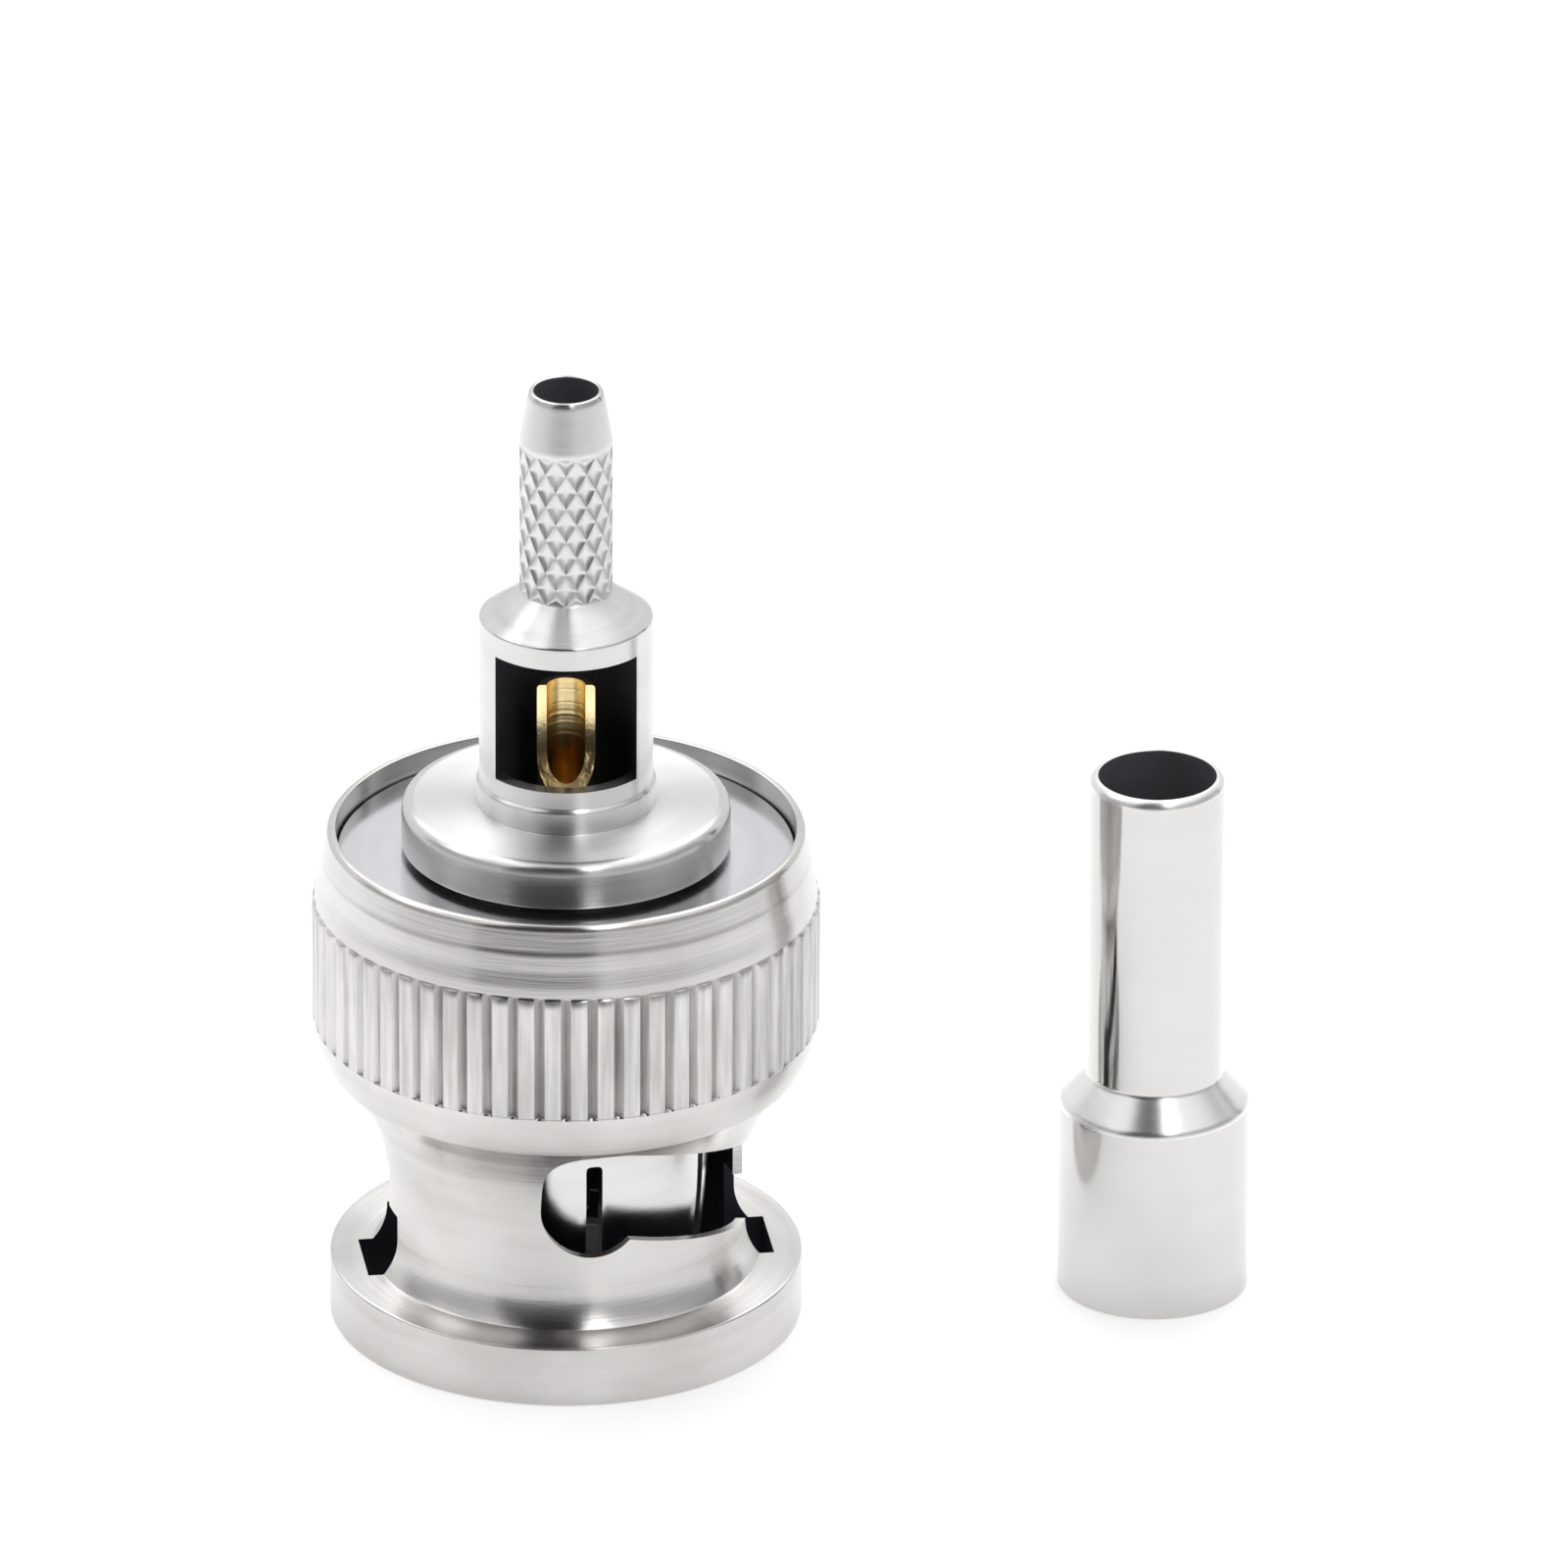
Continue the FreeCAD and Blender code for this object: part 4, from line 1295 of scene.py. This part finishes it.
@dataclass
class FrontShell(Piece):
    """The outer contact: a slotted sleeve in front, and the flange and hub that the nut turns on."""

    name: str = "outer_contact_skin"
    body: str = "plug"
    node: str = "outer_contact"
    slot: str = "nickel_polished"
    sleeve_radius: float = 4.05
    sleeve_bore: float = 3.45
    sleeve_front: float = 1.9
    finger_bow: float = 0.3
    bow_end: float = 5.6
    bow_radius: float = 24.0
    finger_count: int = 6
    slot_width: float = 0.47
    slot_end: float = 6.2
    slot_corner: float = 0.12
    slot_turn: float = 11.5
    groove_radius: float = 3.8
    groove_front: float = 7.1
    shoulder_front: float = 8.0
    shoulder_radius: float = 4.62
    flange_front: float = 8.65
    flange_rear: float = 9.85
    flange_radius: float = 5.9
    hub_radius: float = 3.85
    hub_rear: float = 14.6
    bore_radius: float = 3.2
    lip_bore: float = 2.9
    lip_front: float = 7.4
    lip_rear: float = 8.2

    def finish_at(self, centre: Vector) -> int:
        """Bright outside, and painted shade inside and between the fingers: a dark matt colour."""
        across = math.hypot(centre.x, centre.y)
        return 1 if across < self.sleeve_bore + 0.3 and centre.z > self.sleeve_front + 0.1 else 0

    def build(self, array: RoundArray, finishes: Finishes) -> bpy.types.Object:
        """Builds and dresses the shell.

        Args:
            array: The tree that repeats the slots between the fingers.
            finishes: The object's finishes.

        Returns:
            The piece.
        """
        shape = Outline().to(self.sleeve_bore, self.sleeve_front, 0.06)
        shape.to(self.sleeve_radius - self.finger_bow, self.sleeve_front, 0.12)
        shape.arc_to(self.sleeve_radius, self.bow_end, self.bow_radius, Turn.LEFT)
        shape.to(self.sleeve_radius, self.groove_front)
        shape.to(self.groove_radius, self.groove_front).to(self.groove_radius, self.shoulder_front)
        shape.to(self.shoulder_radius, self.shoulder_front).to(self.shoulder_radius, self.flange_front)
        shape.to(self.flange_radius, self.flange_front).to(self.flange_radius, self.flange_rear)
        shape.to(self.hub_radius, self.flange_rear).to(self.hub_radius, self.hub_rear)
        shape.to(self.bore_radius, self.hub_rear).to(self.bore_radius, self.lip_rear)
        shape.to(self.lip_bore, self.lip_rear).to(self.lip_bore, self.lip_front)
        shape.to(self.sleeve_bore, self.lip_front)
        blank = as_mesh("blank", joined(lathe(shape.points(), even_angles(ROUND_COLUMNS))))
        half, corner = self.slot_width / 2, self.slot_corner
        section = [
            Vector((-half, -2.5, self.sleeve_front - 0.5)),
            Vector((half, -2.5, self.sleeve_front - 0.5)),
            Vector((half, -2.5, self.slot_end - corner)),
            Vector((half - corner * 0.3, -2.5, self.slot_end - corner * 0.3)),
            Vector((half - corner, -2.5, self.slot_end)),
            Vector((corner - half, -2.5, self.slot_end)),
            Vector((corner * 0.3 - half, -2.5, self.slot_end - corner * 0.3)),
            Vector((-half, -2.5, self.slot_end - corner)),
        ]
        cutter = prism(section, Vector((0.0, -3.0, 0.0)))
        turn = Matrix.Rotation(math.radians(self.slot_turn), 4, "Z")
        bmesh.ops.transform(cutter, matrix=turn, verts=cutter.verts)
        mesh = cut(blank, array.repeat(cutter, finishes.shell, self.finger_count))
        return self.show(mesh, finishes.shell, finishes.bore)


@dataclass
class CentreContact(Piece):
    """The gilded contact: pin and collar in front, and the solder cup that looks out of the window.

    The cup is cut open down to its axis. From cut_front on, the cut runs out forward in a straight slant,
    cut_lean millimetres for each one along the axis.
    """

    name: str = "centre_contact_skin"
    body: str = "plug"
    node: str = "centre_contact"
    slot: str = "gold_plate"
    tip: float = 2.35
    point_length: float = 0.8
    point_radius: float = 0.25
    pin_radius: float = 0.685
    collar_front: float = 6.95
    collar_rear: float = 9.55
    collar_radius: float = 0.95
    cup_radius: float = 0.825
    cup_bore: float = 0.55
    cup_rear: float = 19.45
    cup_floor: float = 15.8
    cup_rounding: float = 0.13
    cut_front: float = 17.38
    cut_lean: float = 0.72

    def finish_at(self, centre: Vector) -> int:
        """Drilling rings inside the cup, with painted shade in darker tones of gold."""
        across = math.hypot(centre.x, centre.y)
        return 1 if across < self.cup_bore + 0.01 and centre.z > self.cup_floor - 0.01 else 0

    def build(self, finishes: Finishes) -> bpy.types.Object:
        """Builds and dresses the contact.

        Args:
            finishes: The object's finishes.

        Returns:
            The piece.
        """
        shape = Outline().to(0.0, self.tip, 0.0).to(self.point_radius, self.tip, 0.08)
        shape.to(self.pin_radius, self.tip + self.point_length, 0.1).to(self.pin_radius, self.collar_front)
        shape.to(self.collar_radius, self.collar_front).to(self.collar_radius, self.collar_rear)
        shape.to(self.cup_radius, self.collar_rear).to(self.cup_radius, self.cup_rear, self.cup_rounding)
        shape.to(self.cup_bore, self.cup_rear).to(self.cup_bore, self.cup_floor).to(0.0, self.cup_floor, 0.0)
        blank = as_mesh("blank", joined(lathe(shape.points(closed=False), even_angles(96), closed=False)))
        reach = 2.0
        section = [
            Vector((-reach, -reach, self.cut_front - reach / self.cut_lean)),
            Vector((-reach, 0.0, self.cut_front)),
            Vector((-reach, 0.0, self.cup_rear + 0.5)),
            Vector((-reach, -reach, self.cup_rear + 0.5)),
        ]
        mesh = cut(blank, prism(section, Vector((2 * reach, 0.0, 0.0))))
        return self.show(mesh, finishes.gold, finishes.gold_bore)


@dataclass
class Ferrule(Piece):
    """The stepped crimp sleeve that stands on its wide end beside the plug."""

    name: str = "ferrule_skin"
    body: str = "plug"
    node: str = "ferrule"
    slot: str = "nickel_polished"
    axis: tuple[float, float] = (16.83, 1.6)
    wide_radius: float = 2.74
    small_radius: float = 1.935
    wall: float = 0.25
    wide_length: float = 5.8
    shoulder_end: float = 6.65
    length: float = 15.9
    mouth_rounding: float = 0.2
    mouth_length: float = 0.26

    def finish_at(self, centre: Vector) -> int:
        """Polished outside, painted shade in the bore, and turning marks with a painted highlight on the
        shoulder and the mouth.

        Args:
            centre: The face's centre in millimetres.

        Returns:
            The number of the material.
        """
        across = math.hypot(centre.x - self.axis[0], centre.y - self.axis[1])
        share = (centre.z + self.wall - self.wide_length) / (self.shoulder_end - self.wide_length)
        share = min(max(share, 0.0), 1.0)
        hole = self.wide_radius + (self.small_radius - self.wide_radius) * share - self.wall
        if across < hole + 0.015 and centre.z < self.length - 0.1:
            return 1
        on_shoulder = self.wide_length - 0.1 < centre.z < self.shoulder_end + 0.05
        return 2 if on_shoulder or centre.z > self.length - self.mouth_length else 0

    def build(self, finishes: Finishes) -> bpy.types.Object:
        """Builds and dresses the ferrule.

        Args:
            finishes: The object's finishes.

        Returns:
            The piece.
        """
        wide_bore, small_bore = self.wide_radius - self.wall, self.small_radius - self.wall
        shape = Outline().to(wide_bore, 0.0, 0.03).to(self.wide_radius, 0.0, 0.06)
        shape.to(self.wide_radius, self.wide_length, 0.12).to(self.small_radius, self.shoulder_end, 0.08)
        shape.to(self.small_radius, self.length - self.mouth_length, 0.06)
        mouth_radius, bend = self.small_radius - self.mouth_rounding, self.mouth_length + 0.02
        shape.arc_to(mouth_radius, self.length, bend, Turn.LEFT, 8)
        shape.to(small_bore, self.length, 0.02)
        shape.to(small_bore, self.shoulder_end - self.wall, 0.05)
        shape.to(wide_bore, self.wide_length - self.wall, 0.05)
        skin = joined(lathe(shape.points(), even_angles(ROUND_COLUMNS)))
        move = Matrix.Translation(Vector((*self.axis, 0.0)) * MM)
        bmesh.ops.transform(skin, matrix=move, verts=skin.verts)
        mesh = as_mesh(self.name, skin)
        return self.show(mesh, finishes.ferrule, finishes.hollow_shade, finishes.turned_ends_and_highlight)


@dataclass
class SpringWasher(Piece):
    """One of the two bowed washers behind the shell's flange, which flatten as the nut is pushed forward; this
    copy of its mesh doesn't flatten.
    """

    FLANGE_REAR = 9.85
    KEPT = 0.75

    def build(self, nodes: dict[str, bpy.types.Object], finishes: Finishes) -> bpy.types.Object:
        """Builds and dresses the washer.

        Args:
            nodes: The frame's nodes by name.
            finishes: The object's finishes.

        Returns:
            The piece.
        """
        source = nodes[self.node]
        skin = bmesh.new()
        skin.from_mesh(source.data)
        bmesh.ops.transform(skin, matrix=source.matrix_world, verts=skin.verts)
        piece = self.show(as_mesh(self.name, joined(skin)), finishes.spring)
        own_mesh(piece)
        return piece


# Stage


@dataclass(frozen=True)
class Panel:
    """A bright or dark patch of the surroundings, as a studio's boxes and cards would show in bright metal.

    Bearings are in degrees from the front towards the right. An overhead panel lies across the zenith and is
    measured by the sideways part of the direction, from -1 to 1. Heights are the direction's upward part. A
    later panel lies over the ones before it.
    """

    span: PanelSpan
    start: float
    end: float
    low: float
    high: float
    level: float
    soft: float = 0.04
    fade: float = 0.08


@dataclass
class Studio:
    """Camera, floor and soft light of a product photograph."""

    target: tuple[float, float, float] = (0.0, 0.0, 16.36)
    distance: float = 750.0
    pitch: float = 24.8
    lens: float = 606.5
    side_shift: float = 0.139
    floor_radius: float = 130.0
    ambient: float = 0.6
    floor_glow: float = 0.45
    # The floor glows only outside this radius; inside it a painted shadow lies under the plug
    painted_shadow_radius: float = 5.0
    glow_full: float = 6.0
    aim: tuple[float, float, float] = (7.0, 0.0, 10.0)
    panels: tuple[Panel, ...] = (
        # Pale ground, and a pale backdrop on the left and on the right
        Panel(PanelSpan.BEARING, -190.0, 190.0, -1.2, -0.13, 1.0, 0.02, 0.02),
        Panel(PanelSpan.BEARING, -190.0, -110.0, -0.02, 1.1, 0.9, 0.15),
        Panel(PanelSpan.BEARING, 110.0, 190.0, -0.02, 1.1, 0.9, 0.15),
        # Pale above in front, and grey below that
        Panel(PanelSpan.BEARING, -110.0, 110.0, 0.62, 1.1, 1.1, 0.1),
        Panel(PanelSpan.BEARING, -110.0, 110.0, 0.05, 0.6, 0.4, 0.1),
        # Bright box overhead, thin dark card behind on the right, and a dim strip across the box
        Panel(PanelSpan.OVERHEAD, -0.36, 0.34, 0.52, 0.92, 2.9, 0.05),
        Panel(PanelSpan.BEARING, 117.0, 124.0, -0.3, 0.5, 0.03, 0.02),
        Panel(PanelSpan.OVERHEAD, -0.09, 0.03, 0.58, 0.86, 0.35, 0.02),
        # Dark card in front, and a pale patch at the zenith
        Panel(PanelSpan.BEARING, -42.0, 14.0, -0.06, 0.98, 0.02, 0.06, 0.03),
        Panel(PanelSpan.OVERHEAD, -0.1, 0.035, 0.985, 1.2, 1.1, 0.03, 0.01),
    )

    def camera(self) -> None:
        """Creates the camera, far off with a long lens, as the photograph's straight sides ask for."""
        data = bpy.data.cameras.new("camera")
        data.lens = self.lens
        data.sensor_width = 36.0
        data.shift_x = self.side_shift
        data.clip_start = 0.01
        data.clip_end = 10.0
        camera = bpy.data.objects.new("camera", data)
        bpy.context.scene.collection.objects.link(camera)
        pitch = math.radians(self.pitch)
        away = Vector((0.0, -math.cos(pitch), math.sin(pitch))) * self.distance
        camera.location = (Vector(self.target) + away) * MM
        camera.rotation_euler = (math.pi / 2 - pitch, 0.0, 0.0)
        bpy.context.scene.camera = camera

    def floor(self) -> None:
        """A white floor that keeps the object's shadow, with a painted shadow where the plug stands on it:
        there the floor doesn't glow.
        """
        skin = bmesh.new()
        bmesh.ops.create_circle(skin, cap_ends=True, segments=96, radius=self.floor_radius * MM)
        floor = as_object("floor", as_mesh("floor", skin))
        floor.location.z = -0.01 * MM
        recipe = Recipe("floor_white")
        recipe.shader.inputs["Base Color"].default_value = (0.8, 0.8, 0.8, 1.0)
        recipe.shader.inputs["Roughness"].default_value = 1.0
        recipe.shader.inputs["Specular IOR Level"].default_value = 0.0
        path = recipe.nodes.new("ShaderNodeLightPath").outputs
        seen = recipe.math("MAXIMUM", path["Is Camera Ray"], path["Is Glossy Ray"])
        seen = recipe.math("MAXIMUM", seen, path["Is Transmission Ray"])
        recipe.shader.inputs["Emission Color"].default_value = (1.0, 1.0, 1.0, 1.0)
        radius = recipe.nodes.new("ShaderNodeVectorMath")
        radius.operation = "LENGTH"
        recipe.put(radius.inputs[0], recipe.position())
        # Painted shadow: no glow under the plug, where its slots look down onto the floor
        start, full = self.painted_shadow_radius * MM, self.glow_full * MM
        glow = recipe.spread(radius.outputs["Value"], 0.0, self.floor_glow, start, full)
        recipe.put(recipe.shader.inputs["Emission Strength"], recipe.math("MULTIPLY", seen, glow))
        floor.data.materials.append(recipe.material)

    def light(
        self, name: str, position: tuple[float, float, float], size: tuple[float, float], power: float
    ) -> None:
        """Adds a soft box that faces the object.

        Args:
            name: The lamp's name.
            position: Its place in millimetres.
            size: Its width and height in millimetres.
            power: Its power in watts.
        """
        data = bpy.data.lights.new(name, "AREA")
        data.shape = "RECTANGLE"
        data.size, data.size_y = size[0] * MM, size[1] * MM
        data.energy = power
        lamp = bpy.data.objects.new(name, data)
        bpy.context.scene.collection.objects.link(lamp)
        lamp.location = Vector(position) * MM
        sight = Vector(self.aim) * MM - lamp.location
        lamp.rotation_euler = sight.to_track_quat("-Z", "Y").to_euler()

    def world(self) -> None:
        """Surroundings with pale boxes and dark cards, and plain white to the camera."""
        world = bpy.data.worlds.new("studio")
        bpy.context.scene.world = world
        world.use_nodes = True
        bench = Bench(world.node_tree)
        direction = bench.nodes.new("ShaderNodeTexCoord").outputs["Generated"]
        sideways, depth, upward = bench.node("ShaderNodeSeparateXYZ", Vector=direction).outputs
        bearing = bench.math("ARCTAN2", sideways, bench.math("MULTIPLY", depth, -1.0))
        level: object = self.ambient
        for panel in self.panels:
            if panel.span is PanelSpan.BEARING:
                start, end = math.radians(panel.start), math.radians(panel.end)
                across = bench.within(bearing, start, end, panel.soft)
            else:
                across = bench.within(sideways, panel.start, panel.end, panel.soft)
            mask = bench.math("MULTIPLY", across, bench.within(upward, panel.low, panel.high, panel.fade))
            mixed = bench.node("ShaderNodeMix", Factor=mask)
            bench.put(mixed.inputs["A"], level)
            bench.put(mixed.inputs["B"], panel.level)
            level = mixed.outputs["Result"]
        path = bench.nodes.new("ShaderNodeLightPath").outputs
        seen = bench.node("ShaderNodeMix", Factor=path["Is Camera Ray"])
        bench.put(seen.inputs["A"], level)
        seen.inputs["B"].default_value = 1.0
        bench.put(bench.nodes["Background"].inputs["Strength"], seen.outputs["Result"])
        bench.nodes["Background"].inputs["Color"].default_value = (1.0, 1.0, 1.0, 1.0)

    def build(self) -> None:
        """Sets up the whole stage."""
        bpy.context.scene.view_settings.view_transform = "Standard"
        self.camera()
        self.floor()
        self.world()
        self.light("left_box", (-300.0, 60.0, 330.0), (180.0, 180.0), 0.12)


def dress_hidden_nodes(nodes: dict[str, bpy.types.Object], finishes: Finishes) -> list[bpy.types.Object]:
    """Gives the pieces that keep their own meshes a finish.

    Args:
        nodes: The frame's nodes by name.
        finishes: The object's finishes.

    Returns:
        The pieces.
    """
    materials = {
        "thrust_washer": finishes.steel,
        "gasket": finishes.silicone,
        "insulator": finishes.dielectric,
    }
    dressed = []
    for name, material in materials.items():
        slots = nodes[name].data.materials
        slots.clear()
        slots.append(material)
        dressed.append(nodes[name])
    return dressed


def main() -> None:
    """Builds every piece in order, then the stage."""
    logging.basicConfig(level=logging.INFO, format="%(name)s: %(message)s")
    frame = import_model()
    ferrule = Ferrule()
    finishes = Finishes(ferrule.axis)
    array = RoundArray()
    pieces = [
        CouplingNut().build(array, finishes),
        RetainingWasher().build(finishes),
        CrimpBody().build(array, finishes),
        FrontShell().build(array, finishes),
        CentreContact().build(finishes),
        ferrule.build(finishes),
    ]
    for side in ("front", "rear"):
        washer = SpringWasher(f"spring_skin_{side}", "plug", f"spring_washer_{side}", "steel_spring")
        pieces.append(washer.build(frame["nodes"], finishes))
    pieces.extend(dress_hidden_nodes(frame["nodes"], finishes))
    for piece in pieces:
        LOG.info("%s: %d faces", piece.name, len(piece.data.polygons))
    Studio().build()


if __name__ == "__main__":
    main()
